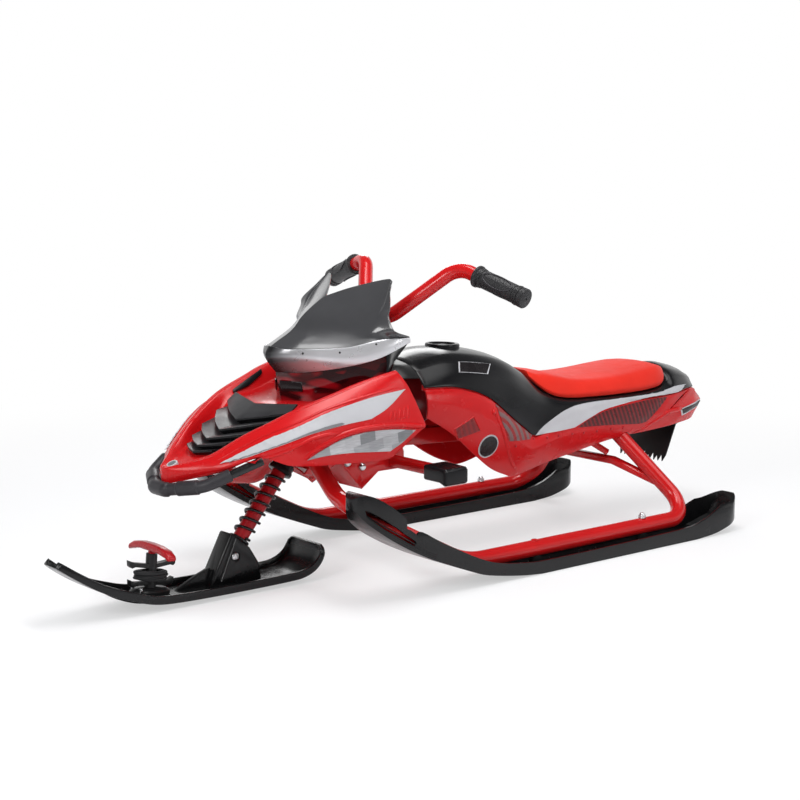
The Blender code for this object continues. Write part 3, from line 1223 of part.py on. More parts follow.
def body_supports(head_low):
    """Plates that carry the bodywork: one round the head tube and two across the spine."""
    front_top = (spine_z(-0.038) + SPINE_W / 2 + GAP) * 1000
    rear_top = (spine_z(0.350) + SPINE_W / 2 + 2 * GAP) * 1000
    spine_side = (SPINE_W / 2 + GAP) * 1000
    bulkhead("inner_panel", [(0, 308.5), (47, 301.5), (68, 285.5), (77.5, 272), (85.5, 256), (84, 228), (60, 214),
                             (spine_side + 1, 200), (spine_side, 200), (spine_side, front_top), (0, front_top)], -0.0380,
             "dark_red_plastic")
    bulkhead("rear_body_bracket", [(0, 219.6), (62, 218.6), (77, 216), (81, 204), (81.6, 176), (76, 162), (40, 160),
                                   (spine_side, 160), (spine_side, rear_top), (0, rear_top)], 0.3500, "black_steel")
    strap = box("cowl_strap", (0.2650, 0.046, SHEET), (0.0, -0.198, 0.2260), "black_steel")
    bevel(strap, 0.001, 1)
    baked(strap)
    combine(strap, cylinder("strap_hole", HEAD_TUBE_D / 2 + GAP, HEAD_TUBE_LENGTH * 2,
                            column_frame(head_low - HEAD_TUBE_LENGTH / 2), None, 32, cutters))


def hang_on_axis(names, point):
    """Move the origins of moving pieces onto a point of their joint's axis."""
    for name in names:
        piece = bpy.data.objects[name]
        piece.data.transform(Matrix.Translation(-point))
        piece.location = point


def console():
    """Black cover between the windshield and the tank."""
    rows = [[(0, -86, 300), (50, -84, 300), (70, -82, 290)],
            [(0, -68, 311), (52, -66, 307), (73, -64, 290)],
            [(0, -42.8, 312), (50, -42.8, 305), (72, -42.8, 288)]]
    shell("console", millimetres(rows), SHELL, "black_plastic")


cup_top = spring_parts()
head_low, head_high = head_tube(cup_top)
steering_column()
front_ski()
cross_bolt()
handlebar_parts()
tow_gear()
frame_parts(head_low, head_high)
gusset(head_low)
peg_bracket()
bracket_bolts()
foot_pegs()
cross_brace()
rear_ski()
ski_bolts()
for part in ("side_rail", "rear_ski", "ski_bolt_front", "ski_bolt_rear"):
    other_side("left_" + part)
cowl()
louvre_insert()
side_intakes()
windshield()
headlights()
bumper()
top_cover()
side_panels()
tail_piece()
fuel_cap()
seat_cushion()
snow_flap()
console()
body_supports(head_low)
hang_on_axis(("spring_cup", "coil_spring", "spring_seat", "steering_column", "stop_collar", "handlebar_clamp_base",
              "handlebar_clamp_cap", "handlebar", "left_grip", "right_grip", "front_ski", "ski_cross_bolt",
              "ski_cross_nut", "tow_cleat", "left_cleat_screw", "right_cleat_screw", "tow_rope"), COLUMN_FOOT)
hang_on_axis(("tow_handle",), tow_frame(0.0).translation)
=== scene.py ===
"""Steering sled: a child's snow bike with one steered front ski and two rear skis.

It faces -Y, its left side is +X, and it stands on z = 0. Sizes are in metres. Points that are
written as text are in millimetres.
"""
from math import atan2, ceil, cos, pi, radians, sin, tan

import bmesh
import bpy
from mathutils import Matrix, Vector
from mathutils.bvhtree import BVHTree


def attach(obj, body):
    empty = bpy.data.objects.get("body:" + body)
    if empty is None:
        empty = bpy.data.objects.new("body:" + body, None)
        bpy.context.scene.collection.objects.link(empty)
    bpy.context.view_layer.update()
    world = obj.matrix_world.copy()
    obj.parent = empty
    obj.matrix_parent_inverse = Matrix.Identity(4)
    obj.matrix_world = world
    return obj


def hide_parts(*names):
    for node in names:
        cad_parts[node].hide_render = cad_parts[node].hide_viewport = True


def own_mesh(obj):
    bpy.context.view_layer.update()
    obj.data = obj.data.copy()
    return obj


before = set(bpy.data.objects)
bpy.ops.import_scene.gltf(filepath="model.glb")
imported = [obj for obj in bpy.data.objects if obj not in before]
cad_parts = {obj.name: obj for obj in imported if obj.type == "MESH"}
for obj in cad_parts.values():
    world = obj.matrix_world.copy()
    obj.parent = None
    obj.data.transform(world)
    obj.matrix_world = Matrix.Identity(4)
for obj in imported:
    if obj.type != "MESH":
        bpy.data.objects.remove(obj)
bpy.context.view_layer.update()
scene = bpy.context.scene
scene.view_settings.view_transform = "Standard"

SIDES = ((1, "left"), (-1, "right"))
SIDE = Vector((1.0, 0.0, 0.0))
MIRROR = Matrix.Diagonal((-1.0, 1.0, 1.0, 1.0))


# Points

def table(text):
    """Lines of points from text: spaces part numbers, commas points, semicolons lines. Lists pass through."""
    if not isinstance(text, str):
        return text
    return [[tuple(float(n) for n in point.split()) for point in line.split(",")] for line in text.split(";")]


def points(text):
    """Points of one line of text, as tuples in metres."""
    return [tuple(n / 1000 for n in point) for point in table(text)[0]]


def vectors(line):
    """Points in millimetres as vectors in metres; a point of two numbers is y and z."""
    return [Vector(p if len(p) == 3 else (0.0, *p)) * 0.001 for p in line]


def vector_rows(text):
    return [vectors(line) for line in table(text)]


def mirrored(line):
    """Points in reverse order, on the other side of the middle plane."""
    return [Vector((-p.x, p.y, p.z)) for p in reversed(line)]


def mirrored_rows(rows):
    """Rows that run from the middle out, doubled over the middle plane."""
    return [mirrored(row[1:]) + list(row) for row in rows]


def spline(line, steps):
    """Smooth curve through points (Catmull-Rom), with a number of steps for each span."""
    line = [Vector(p) for p in line]
    ends = [line[0] * 2 - line[1]] + line + [line[-1] * 2 - line[-2]]
    curve = []
    for before, here, there, after in zip(ends, ends[1:], ends[2:], ends[3:]):
        for k in range(steps):
            t = k / steps
            curve.append(0.5 * (2 * here + (there - before) * t
                                + (2 * before - 5 * here + 4 * there - after) * t ** 2
                                + (3 * here - before - 3 * there + after) * t ** 3))
    return curve + [line[-1]]


def spline_rows(rows, steps):
    """Rows refined lengthwise by a smooth curve down each column."""
    return [list(row) for row in zip(*(spline(column, steps) for column in zip(*rows)))]


def curve2(line, steps):
    """Smooth flat curve through points of two coordinates."""
    return [(p.x, p.y) for p in spline([(a, b, 0.0) for a, b in line], steps)]


def bent_path(corners, radii, steps=14):
    """Straight runs through corner points, each inner corner replaced by an arc."""
    corners = [Vector(c) for c in corners]
    path = [corners[0]]
    for before, here, after, bend in zip(corners, corners[1:], corners[2:], radii):
        back, onward = (before - here).normalized(), (after - here).normalized()
        half = back.angle(onward) / 2
        middle = here + (back + onward).normalized() * (bend / sin(half))
        start, end = (here + way * (bend / tan(half)) - middle for way in (back, onward))
        sweep = start.angle(end)
        for k in range(steps + 1):
            t = k / steps
            path.append(middle + (start * sin((1 - t) * sweep) + end * sin(t * sweep)) / sin(sweep))
    return path + [corners[-1]]


def along_path(path, spacing):
    """Points along a path at most a spacing apart."""
    line = [path[0]]
    for here, there in zip(path, path[1:]):
        count = max(1, ceil((there - here).length / spacing))
        line += [here.lerp(there, (k + 1) / count) for k in range(count)]
    return line


def soften(row, radius, share=0.32):
    """Polyline with each inner corner rounded by three points."""
    out = [row[0]]
    for before, here, after in zip(row, row[1:], row[2:]):
        first, last = (here + way.normalized() * min(radius, way.length * share)
                       for way in (before - here, after - here))
        out += [first, (first + last) * 0.25 + here * 0.5, last]
    return out + [row[-1]]


def fine_rows(stations, steps, radius, crown):
    """Stations refined lengthwise, with softened creases and facets crowned by a height each."""
    rows = []
    for row in spline_rows(stations, steps):
        soft = soften(row, radius)
        out = []
        for j, rise in enumerate(crown):
            out += soft[3 * j - 2:3 * j + 1] if j else soft[:1]
            last, there = out[-1], soft[3 * j + 1]
            across = there - last
            push = Vector((-across.z, 0.0, across.x))
            push = push.normalized() * rise if push.length > 1e-9 else Vector()
            out += [last.lerp(there, share) + push * min(1.0, across.length / 0.02) for share in (0.33, 0.67)]
        rows.append(out + [soft[-1]])
    return rows


def aimed(direction, axis="Z"):
    """Turn that points an axis along a direction."""
    return direction.to_track_quat(axis, "Y").to_matrix().to_4x4()


def frame_between(start, end):
    """Matrix at the start point whose Z axis points to the end point."""
    return Matrix.Translation(start) @ aimed((end - start).normalized())


# Shader nodes

def feed(step, inputs):
    """Give a node's inputs, by name or number, a value or another node's socket."""
    for key, value in dict(inputs).items():
        socket = step.inputs[key]
        if isinstance(value, bpy.types.NodeSocket):
            step.id_data.links.new(value, socket)
        else:
            socket.default_value = (*value, 1.0) if socket.type == "RGBA" else value
    return step


def add_node(tree, kind, inputs=(), **settings):
    step = tree.nodes.new("ShaderNode" + kind)
    for key, value in settings.items():
        setattr(step, key, value)
    return feed(step, inputs)


def maths(tree, operation, *values):
    """One Math node over sockets or numbers."""
    return add_node(tree, "Math", enumerate(values), operation=operation).outputs[0]


def remap(tree, source, low, high, start=0.3, end=0.7, kind="LINEAR"):
    """Socket stretched from the range start to end, to the range low to high."""
    return add_node(tree, "MapRange", {"Value": source, "From Min": start, "From Max": end, "To Min": low,
                                       "To Max": high}, interpolation_type=kind).outputs["Result"]


def coordinates(tree, **mapping):
    """The object's own coordinates, mapped if asked."""
    place = add_node(tree, "TexCoord").outputs["Object"]
    return add_node(tree, "Mapping", {"Vector": place, **mapping}).outputs["Vector"] if mapping else place


def split_place(tree):
    """The object's own coordinates as three sockets."""
    return add_node(tree, "SeparateXYZ", {0: coordinates(tree)}).outputs


def noise(tree, scale, detail, stretch=None):
    """Noise over the object's own coordinates, as a 0 to 1 socket."""
    place = coordinates(tree, Scale=stretch) if stretch else coordinates(tree)
    return add_node(tree, "TexNoise", {"Scale": scale, "Detail": detail, "Vector": place}).outputs["Fac"]


def paint(look, factor, first, second):
    """Colour a material from the first colour to the second as a factor goes from 0 to 1."""
    mix = add_node(look.node_tree, "Mix", data_type="RGBA")
    feed(mix, {"Factor": factor, "A": first, "B": second})
    feed(look.node_tree.nodes["Principled BSDF"], {"Base Color": mix.outputs["Result"]})
    return look


def seen(tree, *kinds):
    """Socket that is 1 for rays from the camera and of some other kinds."""
    path = add_node(tree, "LightPath").outputs
    total = path["Is Camera Ray"]
    for kind in kinds:
        total = maths(tree, "MAXIMUM", total, path[kind])
    return total


# Camera, light and floor

CAMERA_AT = Vector((2.0907, -1.7625, 0.6703))
CAMERA_AZIMUTH = radians(50.2073)
CAMERA_HEIGHT = radians(8.9074)
CAMERA_ROLL = radians(0.0791)
CAMERA_LENS = 80.97
LIGHTS = (  # name, place, target, size, power
    ("top_light", (0.25, 0.0, 1.75), (0.0, 0.05, 0.2), (0.55, 1.3), 17.0),
    ("key_light", (0.7, -2.1, 1.25), (0.0, -0.05, 0.2), (0.7, 0.8), 19.0),
    ("side_light", (2.2, 0.9, 1.0), (0.0, 0.15, 0.2), (0.9, 0.5), 9.0),
    ("rim_light", (-1.5, 1.1, 1.2), (0.0, 0.1, 0.25), (0.8, 0.6), 8.0),
)
BRIGHT_WALL = (-0.77, 0.64, 0.0)
BRIGHT_CARD = (0.36, 0.15, 0.92)
WHITE = (1.0, 1.0, 1.0)


def link(name, data):
    obj = bpy.data.objects.new(name, data)
    scene.collection.objects.link(obj)
    return obj


def camera():
    """Camera at the photograph's place, with its lens."""
    back = Vector((sin(CAMERA_AZIMUTH) * cos(CAMERA_HEIGHT), -cos(CAMERA_AZIMUTH) * cos(CAMERA_HEIGHT),
                   sin(CAMERA_HEIGHT)))
    data = bpy.data.cameras.new("camera")
    data.lens, data.sensor_width, data.clip_end = CAMERA_LENS, 36.0, 200.0
    scene.camera = link("camera", data)
    scene.camera.matrix_world = (Matrix.Translation(CAMERA_AT) @ aimed(-back, "-Z")
                                 @ Matrix.Rotation(CAMERA_ROLL, 4, "Z"))


def studio():
    """White backdrop, darker ceiling with one bright card, soft lights and a pale floor with a shadow."""
    world = bpy.data.worlds.new("studio")
    scene.world = world
    world.use_nodes = True
    tree = world.node_tree
    fill = feed(tree.nodes["Background"], {"Color": (0.95, 0.97, 1.0), "Strength": 0.52})
    way = add_node(tree, "TexCoord").outputs["Generated"]
    wall, card = (add_node(tree, "VectorMath", {0: way, 1: aim}, operation="DOT_PRODUCT").outputs["Value"]
                  for aim in (BRIGHT_WALL, BRIGHT_CARD))
    height = add_node(tree, "SeparateXYZ", {0: way}).outputs["Z"]
    level = maths(tree, "MAXIMUM", remap(tree, wall, 0.38, 1.0, -0.5, 0.5, "SMOOTHSTEP"), seen(tree))
    strength = maths(tree, "MULTIPLY_ADD", remap(tree, height, 1.0, 0.10, 0.26, 0.62, "SMOOTHSTEP"), level,
                     remap(tree, card, 0.0, 3.5, 0.86, 0.97, "SMOOTHSTEP"))
    white = add_node(tree, "Background", {"Color": WHITE, "Strength": strength})
    shown = seen(tree, "Is Glossy Ray", "Is Transmission Ray")
    mix = add_node(tree, "MixShader", {0: shown, 1: fill.outputs[0], 2: white.outputs[0]})
    feed(tree.nodes["World Output"], {"Surface": mix.outputs[0]})
    for name, place, target, size, power in LIGHTS:
        data = bpy.data.lights.new(name, "AREA")
        data.shape, data.energy = "RECTANGLE", power
        data.size, data.size_y = size
        link(name, data).matrix_world = (Matrix.Translation(place)
                                         @ aimed(Vector(target) - Vector(place), "-Z"))

    look = bpy.data.materials.new("floor")
    look.use_nodes = True
    tree = look.node_tree
    matt = feed(tree.nodes["Principled BSDF"], {"Base Color": (0.93, 0.925, 0.935), "Roughness": 0.6,
                                                "Specular IOR Level": 0.1})
    glow = add_node(tree, "Emission", {"Color": WHITE})
    away = add_node(tree, "VectorMath", {0: coordinates(tree)}, operation="LENGTH").outputs["Value"]
    share = maths(tree, "MULTIPLY", seen(tree), remap(tree, away, 0.50, 1.0, 0.7, 1.7, "SMOOTHSTEP"))
    mix = add_node(tree, "MixShader", {0: share, 1: matt.outputs[0], 2: glow.outputs[0]})
    feed(tree.nodes["Material Output"], {"Surface": mix.outputs[0]})
    bm = bmesh.new()
    bmesh.ops.create_grid(bm, x_segments=2, y_segments=2, size=60.0)
    mesh = bpy.data.meshes.new("floor")
    bm.to_mesh(mesh)
    bm.free()
    mesh.materials.append(look)
    floor = link("floor", mesh)
    floor.location.z = -0.0005


# Materials

LOOKS = {}
PLAIN_LOOKS = {  # colour, roughness, drift of the colour, grain scale and depth, and what else is unusual
    "red_steel": ((0.53, 0.008, 0.009), 0.20, 0.04, 420, 8e-6, {"coat": 0.12, "specular": 0.34,
                                                                "spread": 0.03}),
    "red_plastic": ((0.55, 0.006, 0.008), 0.26, 0.03, 1100, 15e-6, {"specular": 0.27, "spread": 0.02}),
    "shaded_red": ((0.38, 0.008, 0.013), 0.30, 0.04, 700, 1e-5, {"specular": 0.30}),
    "dark_red": ((0.13, 0.003, 0.005), 0.16, 0.15, 600, 3e-5, {}),
    "gloss_black": ((0.0095, 0.0095, 0.0105), 0.20, 0.20, 500, 1e-5, {"specular": 0.20, "spread": 0.03}),
    # The screen's dark charcoal is lifted to grey, as a painted reflection.
    "screen_dark_with_painted_reflection": ((0.052, 0.052, 0.055), 0.17, 0.08, 400, 1e-5, {"spread": 0.02, "coat": 0.3}),
    "band_painted_reflection": ((0.50, 0.50, 0.52), 0.28, 0.02, 900, 1e-5, {"metallic": 0.60, "spread": 0.01}),
    "satin_black": ((0.0085, 0.0085, 0.009), 0.36, 0.25, 1500, 5e-5, {"cells": True, "specular": 0.30}),
    "grip_rubber": ((0.017, 0.0165, 0.018), 0.44, 0.20, 430, 4e-4, {"cells": True, "specular": 0.35}),
    "ski_plastic": ((0.006, 0.006, 0.0066), 0.22, 0.30, 1100, 4e-5, {"cells": True, "specular": 0.30,
                                                                      "spread": 0.07}),
    "rubber": ((0.009, 0.0088, 0.0095), 0.44, 0.20, 1400, 5e-5, {"cells": True, "specular": 0.28}),
    "sleeve": ((0.030, 0.028, 0.032), 0.42, 0.15, 900, 4e-5, {"specular": 0.30}),
    "foam": ((0.70, 0.020, 0.008), 0.55, 0.05, 1300, 8e-5, {"cells": True, "sheen": 0.05, "specular": 0.16}),
    "black_steel": ((0.008, 0.008, 0.0085), 0.26, 0.2, 500, 4e-5, {"specular": 0.45}),
    "zinc": ((0.60, 0.60, 0.61), 0.28, 0.08, 300, 3e-5, {"metallic": 1.0, "spread": 0.10}),
    "silver": ((0.50, 0.50, 0.52), 0.50, 0.05, 2000, 1e-5, {"specular": 0.25}),
    "grey_film": ((0.20, 0.20, 0.21), 0.36, 0.30, 1200, 1e-5, {"metallic": 0.2, "stretch": (1.0, 0.10, 0.35),
                                                               "specular": 0.4}),
    "dark_film": ((0.010, 0.008, 0.009), 0.26, 0.10, 1500, 1e-5, {"specular": 0.3}),
    "lens": ((0.012, 0.006, 0.007), 0.14, 0.30, 250, 15e-5, {"specular": 0.25}),
    "rope": ((0.020, 0.020, 0.021), 0.75, 0.30, 1800, 12e-5, {"sheen": 0.1, "specular": 0.2}),
    # Lighter grey for the fins' upward faces, as painted light.
    "fin_top_painted_light": ((0.030, 0.030, 0.032), 0.34, 0.15, 1400, 3e-5, {"specular": 0.4}),
}


def surface(name, colour, roughness, drift=0.08, grain=900, depth=1e-5, metallic=0.0, cells=False, coat=0.0,
            specular=0.5, sheen=0.0, spread=0.06, stretch=None):
    """Principled material with drifting colour and roughness, and a fine grain of noise or of cells."""
    look = bpy.data.materials.new(name)
    look.use_nodes = True
    tree = look.node_tree
    dark, light = (tuple(min(1.0, c * (1.0 + way * drift)) for c in colour) for way in (-1, 1))
    paint(look, remap(tree, noise(tree, 14.0, 3.0, stretch), 0.0, 1.0), dark, light)
    if cells:
        texture = add_node(tree, "TexVoronoi", {"Scale": grain, "Vector": coordinates(tree)})
        height = texture.outputs["Distance"]
    else:
        height = noise(tree, grain, 2.0, stretch)
    bump = add_node(tree, "Bump", {"Distance": depth, "Strength": 1.0, "Height": height})
    feed(tree.nodes["Principled BSDF"], {
        "Roughness": remap(tree, noise(tree, 55.0, 6.0, stretch), roughness - spread, roughness + spread),
        "Normal": bump.outputs["Normal"], "Metallic": metallic, "Specular IOR Level": specular,
        "Coat Weight": coat, "Coat Roughness": 0.08, "Sheen Weight": sheen, "Sheen Roughness": 0.5})
    LOOKS[name] = look
    return look


def shards(name, dark, light):
    """Glossy surface of soft angular patches, partly the faceted inside under tinted plastic, partly painted
    reflections.
    """
    look = surface(name, light, 0.08, specular=0.45, spread=0.02)
    tree = look.node_tree
    place = coordinates(tree, Scale=(0.8, 0.8, 1.9), Rotation=(0.35, 0.15, 0.0))
    cells = add_node(tree, "TexVoronoi", feature="SMOOTH_F1")
    feed(cells, {"Scale": 42.0, "Smoothness": 0.45, "Vector": place})
    split = add_node(tree, "SeparateColor", {0: cells.outputs["Color"]})
    # Dark and bright red patches: partly the inside, partly painted reflections.
    paint(look, remap(tree, split.outputs[0], 0.0, 1.0, 0.30, 0.85), dark, light)


def blocks(name, dark, light):
    """Brushed film printed with slanted blocks of different greys."""
    look = surface(name, light, 0.34, metallic=0.3, specular=0.4)
    tree = look.node_tree
    _, y, z = split_place(tree)
    slant = add_node(tree, "CombineXYZ", {0: maths(tree, "MULTIPLY_ADD", z, 0.35, y),
                                          1: maths(tree, "MULTIPLY_ADD", y, -0.20, z)}).outputs[0]
    brick = add_node(tree, "TexBrick", {"Scale": 1.0, "Brick Width": 0.026, "Row Height": 0.017,
                                        "Mortar Size": 0.0, "Color1": dark, "Color2": light, "Vector": slant})
    lines = remap(tree, noise(tree, 700.0, 2.0, (1.0, 0.05, 1.0)), 0.0, 0.35)
    paint(look, lines, brick.outputs["Color"], tuple(c * 0.55 for c in dark))


def bands(name, first, second, pitch=0.0085, share=0.45, slope=(0.90, 0.44), centre=None):
    """Printed bands of two colours, straight across a slope or round a centre, in the side view."""
    look = surface(name, first, 0.30, specular=0.3)
    tree = look.node_tree
    place = split_place(tree)[1:3]
    if centre:
        away = [maths(tree, "POWER", maths(tree, "SUBTRACT", s, c), 2.0) for s, c in zip(place, centre)]
        reach = maths(tree, "SQRT", maths(tree, "ADD", *away))
    else:
        reach = maths(tree, "ADD", *(maths(tree, "MULTIPLY", s, c) for s, c in zip(place, slope)))
    step = maths(tree, "FRACT", maths(tree, "DIVIDE", reach, pitch))
    paint(look, maths(tree, "LESS_THAN", step, share), first, second)


def make_looks():
    """All materials of the sled. The band's painted reflection is silver at the sides and turns black towards
    the middle plane.
    """
    for name, (*plain, unusual) in PLAIN_LOOKS.items():
        surface(name, *plain, **unusual)
    # Painted reflection: the band's colour runs from black at the middle plane to silver at the sides.
    tree = LOOKS["band_painted_reflection"].node_tree
    reach = maths(tree, "ABSOLUTE", split_place(tree)[0])
    paint(LOOKS["band_painted_reflection"], remap(tree, reach, 0.0, 1.0, 0.006, 0.060), (0.035, 0.035, 0.037),
          (0.62, 0.62, 0.64))
    shards("lamp_red_with_painted_reflections", (0.020, 0.001, 0.002), (0.24, 0.004, 0.008))
    blocks("brushed_blocks", (0.17, 0.18, 0.19), (0.62, 0.63, 0.65))
    bands("stripe_film", (0.055, 0.005, 0.006), (0.20, 0.010, 0.012))
    bands("vent_film", (0.17, 0.008, 0.009), (0.26, 0.010, 0.011))
    bands("fan_film", (0.27, 0.013, 0.014), (0.17, 0.10, 0.10), 0.0125, 0.52, centre=(0.078, 0.160))


# Meshes and pieces

def shade(mesh, sharp):
    """Smooth shading, but for the edges above an angle."""
    mesh.shade_smooth()
    mesh.set_sharp_from_angle(angle=radians(sharp))


def place_object(name, mesh, look, node=None, body="frame", sharp=38.0):
    """Link a mesh as a piece that rides on a body and may stand for a CAD node."""
    obj = link(name, mesh)
    mesh.materials.clear()
    mesh.materials.append(look)
    shade(mesh, sharp)
    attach(obj, body)
    if node:
        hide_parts(node)
    return obj


def to_mesh(name, bm):
    """Mesh of a bmesh whose closed surfaces face out."""
    bmesh.ops.remove_doubles(bm, verts=bm.verts, dist=1e-6)
    bmesh.ops.recalc_face_normals(bm, faces=bm.faces)
    if bm.calc_volume(signed=True) < 0.0:
        bmesh.ops.reverse_faces(bm, faces=bm.faces)
    mesh = bpy.data.meshes.new(name)
    bm.to_mesh(mesh)
    bm.free()
    return mesh


def piece(name, bm, look, node=None, body="frame", sharp=38.0):
    return place_object(name, to_mesh(name, bm), LOOKS[look], node, body, sharp)


def twin(obj, name, node=None, body="frame", sharp=38.0):
    """Right-hand twin of a left-hand piece."""
    mesh = obj.data.copy()
    mesh.transform(MIRROR)
    mesh.flip_normals()
    place_object(name, mesh, mesh.materials[0], node, body, sharp)


def merge(bm, other, both_sides=False):
    """Add a bmesh to another, and its mirror image too if asked, and free it."""
    mesh = bpy.data.meshes.new("part")
    other.to_mesh(mesh)
    other.free()
    bm.from_mesh(mesh)
    if both_sides:
        mesh.transform(MIRROR)
        mesh.flip_normals()
        bm.from_mesh(mesh)
    bpy.data.meshes.remove(mesh)


def modify(obj, kind, **settings):
    step = obj.modifiers.new(kind, kind)
    for key, value in settings.items():
        setattr(step, key, value)


def bake(obj, sharp=38.0):
    """Apply an object's modifiers to its own mesh."""
    bpy.context.view_layer.update()
    mesh = bpy.data.meshes.new_from_object(obj.evaluated_get(bpy.context.evaluated_depsgraph_get()))
    obj.modifiers.clear()
    obj.data = mesh
    shade(mesh, sharp)
    return obj


def bevel(obj, width, segments, angle, apply=True, sharp=38.0):
    """Round the edges that are sharper than an angle."""
    modify(obj, "BEVEL", width=width, segments=segments, limit_method="ANGLE", angle_limit=radians(angle),
           use_clamp_overlap=True)
    return bake(obj, sharp) if apply else obj


def carve(obj, tool, operation="DIFFERENCE", sharp=38.0):
    """Boolean an object with a bmesh or an object, which is used up."""
    if isinstance(tool, bmesh.types.BMesh):
        tool = link("tool", to_mesh("tool", tool))
    modify(obj, "BOOLEAN", operation=operation, object=tool, solver="EXACT")
    bake(obj, sharp)
    bpy.data.objects.remove(tool, do_unlink=True)


def tube_wall(bm, here, there):
    """Faces between two rings of vertices."""
    for k in range(len(here)):
        j = (k + 1) % len(here)
        bm.faces.new((here[k], here[j], there[j], there[k]))


def sweep_bm(path, radius, sides=24, rounded=0.0, closed=False):
    """Round bar along a path. The radius is a number or one for each point; the ends can be rounded."""
    path = [Vector(p) for p in path]
    radii = list(radius) if isinstance(radius, list) else [radius] * len(path)
    if rounded:
        turns = [pi / 2 * k / 4 for k in range(4)]
        ends = []
        for root, beside, r in ((path[0], path[1], radii[0]), (path[-1], path[-2], radii[-1])):
            way = (beside - root).normalized()
            ends.append(([root + way * rounded * (1 - sin(a)) for a in turns],
                         [r - rounded * (1 - cos(a)) for a in turns]))
        (head, heads), (foot, feet) = ends
        path = head[::-1] + path[1:-1] + foot
        radii = heads[::-1] + radii[1:-1] + feet
    bm = bmesh.new()
    count = len(path)
    rings, normal, before = [], None, None
    for i in range(count):
        ahead = path[(i + 1) % count] if closed or i + 1 < count else path[i]
        behind = path[i - 1] if closed or i > 0 else path[i]
        tangent = (ahead - behind).normalized()
        normal = before.rotation_difference(tangent) @ normal if i else tangent.orthogonal().normalized()
        side = tangent.cross(normal)
        angles = [2 * pi * k / sides for k in range(sides)]
        rings.append([bm.verts.new(path[i] + (normal * cos(a) + side * sin(a)) * radii[i]) for a in angles])
        before = tangent
    for here, there in zip(rings, rings[1:] + rings[:1] if closed else rings[1:]):
        tube_wall(bm, here, there)
    if not closed:
        bm.faces.new(rings[0][::-1])
        bm.faces.new(rings[-1])
    return bm


def pipe(name, path, diameter, look, node, body="frame", sides=28, rounded=0.0015, spacing=0.02):
    """Smooth tube along a path."""
    piece(name, sweep_bm(along_path(path, spacing), diameter / 2, sides, rounded), look, node, body)


def lathe_bm(profile, place, steps=48):
    """Solid of revolution from a closed profile of (radius, height), or from its text."""
    profile = points(profile) if isinstance(profile, str) else profile
    bm = bmesh.new()
    rings = []
    for k in range(steps):
        angle = 2.0 * pi * k / steps
        rings.append([bm.verts.new((r * cos(angle), r * sin(angle), z)) for r, z in profile])
    for here, there in zip(rings, rings[1:] + rings[:1]):
        for i in range(len(profile)):
            j = (i + 1) % len(profile)
            if max(profile[i][0], profile[j][0]) > 0.0:
                bm.faces.new((here[i], there[i], there[j], here[j]))
    bmesh.ops.remove_doubles(bm, verts=bm.verts, dist=1e-7)
    bmesh.ops.dissolve_degenerate(bm, dist=1e-7, edges=bm.edges)
    bm.transform(place)
    return bm


def lathe(name, profile, place, look, node=None, body="frame", steps=48, sharp=30.0):
    return piece(name, lathe_bm(profile, place, steps), look, node, body, sharp)


def cylinder_bm(radius, length, place, steps=40):
    return lathe_bm([(0.0, 0.0), (radius, 0.0), (radius, length), (0.0, length)], place, steps)


def plate_bm(outline, low, high, axis=0):
    """Flat outline made thick along an axis; its points hold the other two coordinates."""
    bm = bmesh.new()
    here, there = ([bm.verts.new((*p[:axis], level, *p[axis:])) for p in outline] for level in (low, high))
    bm.faces.new(here)
    bm.faces.new(there[::-1])
    tube_wall(bm, here, there)
    return bm


def loft_bm(sections):
    """Closed body through like closed sections, with flat ends."""
    bm = bmesh.new()
    loops = [[bm.verts.new(p) for p in section] for section in sections]
    for here, there in zip(loops, loops[1:]):
        tube_wall(bm, here, there)
    bm.faces.new(loops[0][::-1])
    bm.faces.new(loops[-1])
    return bm


def face_way(bm, way):
    """Turn an open sheet so that it faces a way."""
    total = sum((f.normal * f.calc_area() for f in bm.faces), Vector())
    if total.dot(way) < 0.0:
        bmesh.ops.reverse_faces(bm, faces=bm.faces)


def skin(name, rows, wall, look, node=None, skip=None, up=Vector((0, 0, 1)), rim=0.0008, sharp=50.0):
    """Moulded wall through rows of points, thickened inwards; skip(row, column) leaves a cell open."""
    bm = bmesh.new()
    verts = [[bm.verts.new(p) for p in row] for row in rows]
    for i in range(len(rows) - 1):
        for j in range(len(rows[0]) - 1):
            if not (skip and skip(i, j)):
                bm.faces.new((verts[i][j], verts[i][j + 1], verts[i + 1][j + 1], verts[i + 1][j]))
    bmesh.ops.remove_doubles(bm, verts=bm.verts, dist=1e-6)
    bmesh.ops.delete(bm, geom=[v for v in bm.verts if not v.link_faces], context="VERTS")
    bmesh.ops.recalc_face_normals(bm, faces=bm.faces)
    face_way(bm, up)
    mesh = bpy.data.meshes.new(name)
    bm.to_mesh(mesh)
    bm.free()
    obj = place_object(name, mesh, LOOKS[look], node, "frame", sharp)
    modify(obj, "SOLIDIFY", thickness=wall, offset=-1.0, use_even_offset=True)
    if rim:
        bevel(obj, rim, 2, 60.0, False)
    return bake(obj, sharp)


# Places shared with the CAD

GAP = 0.0003
RAKE = radians(39.0)
COLUMN_FOOT = Vector((0.0, -0.324, 0.069))
COLUMN_D = 0.022
COLUMN_BELOW = 0.048
FRAME_TUBE_D = 0.025
TRACK = 0.380
RUNNER_Z = 0.031
SPRING_WIRE = 0.0042
SPRING_D = 0.0315
SPRING_TURNS = 7.5
SPRING_LENGTH = 0.112
SPRING_SEAT_H = 0.004
SHELL = 0.0028
GRIP_START = Vector((0.142, 0.007, 0.442))
GRIP_END = Vector((0.222, 0.024, 0.415))
BAR_D = 0.022
BAR_LOW = Vector((0.030, -0.066, 0.377))
BAR_BENDS = (0.040, 0.030, 0.030, 0.040)
GRIP_BEND = 0.036
TOWER_W = 0.031
BUMPER_D = 0.0125

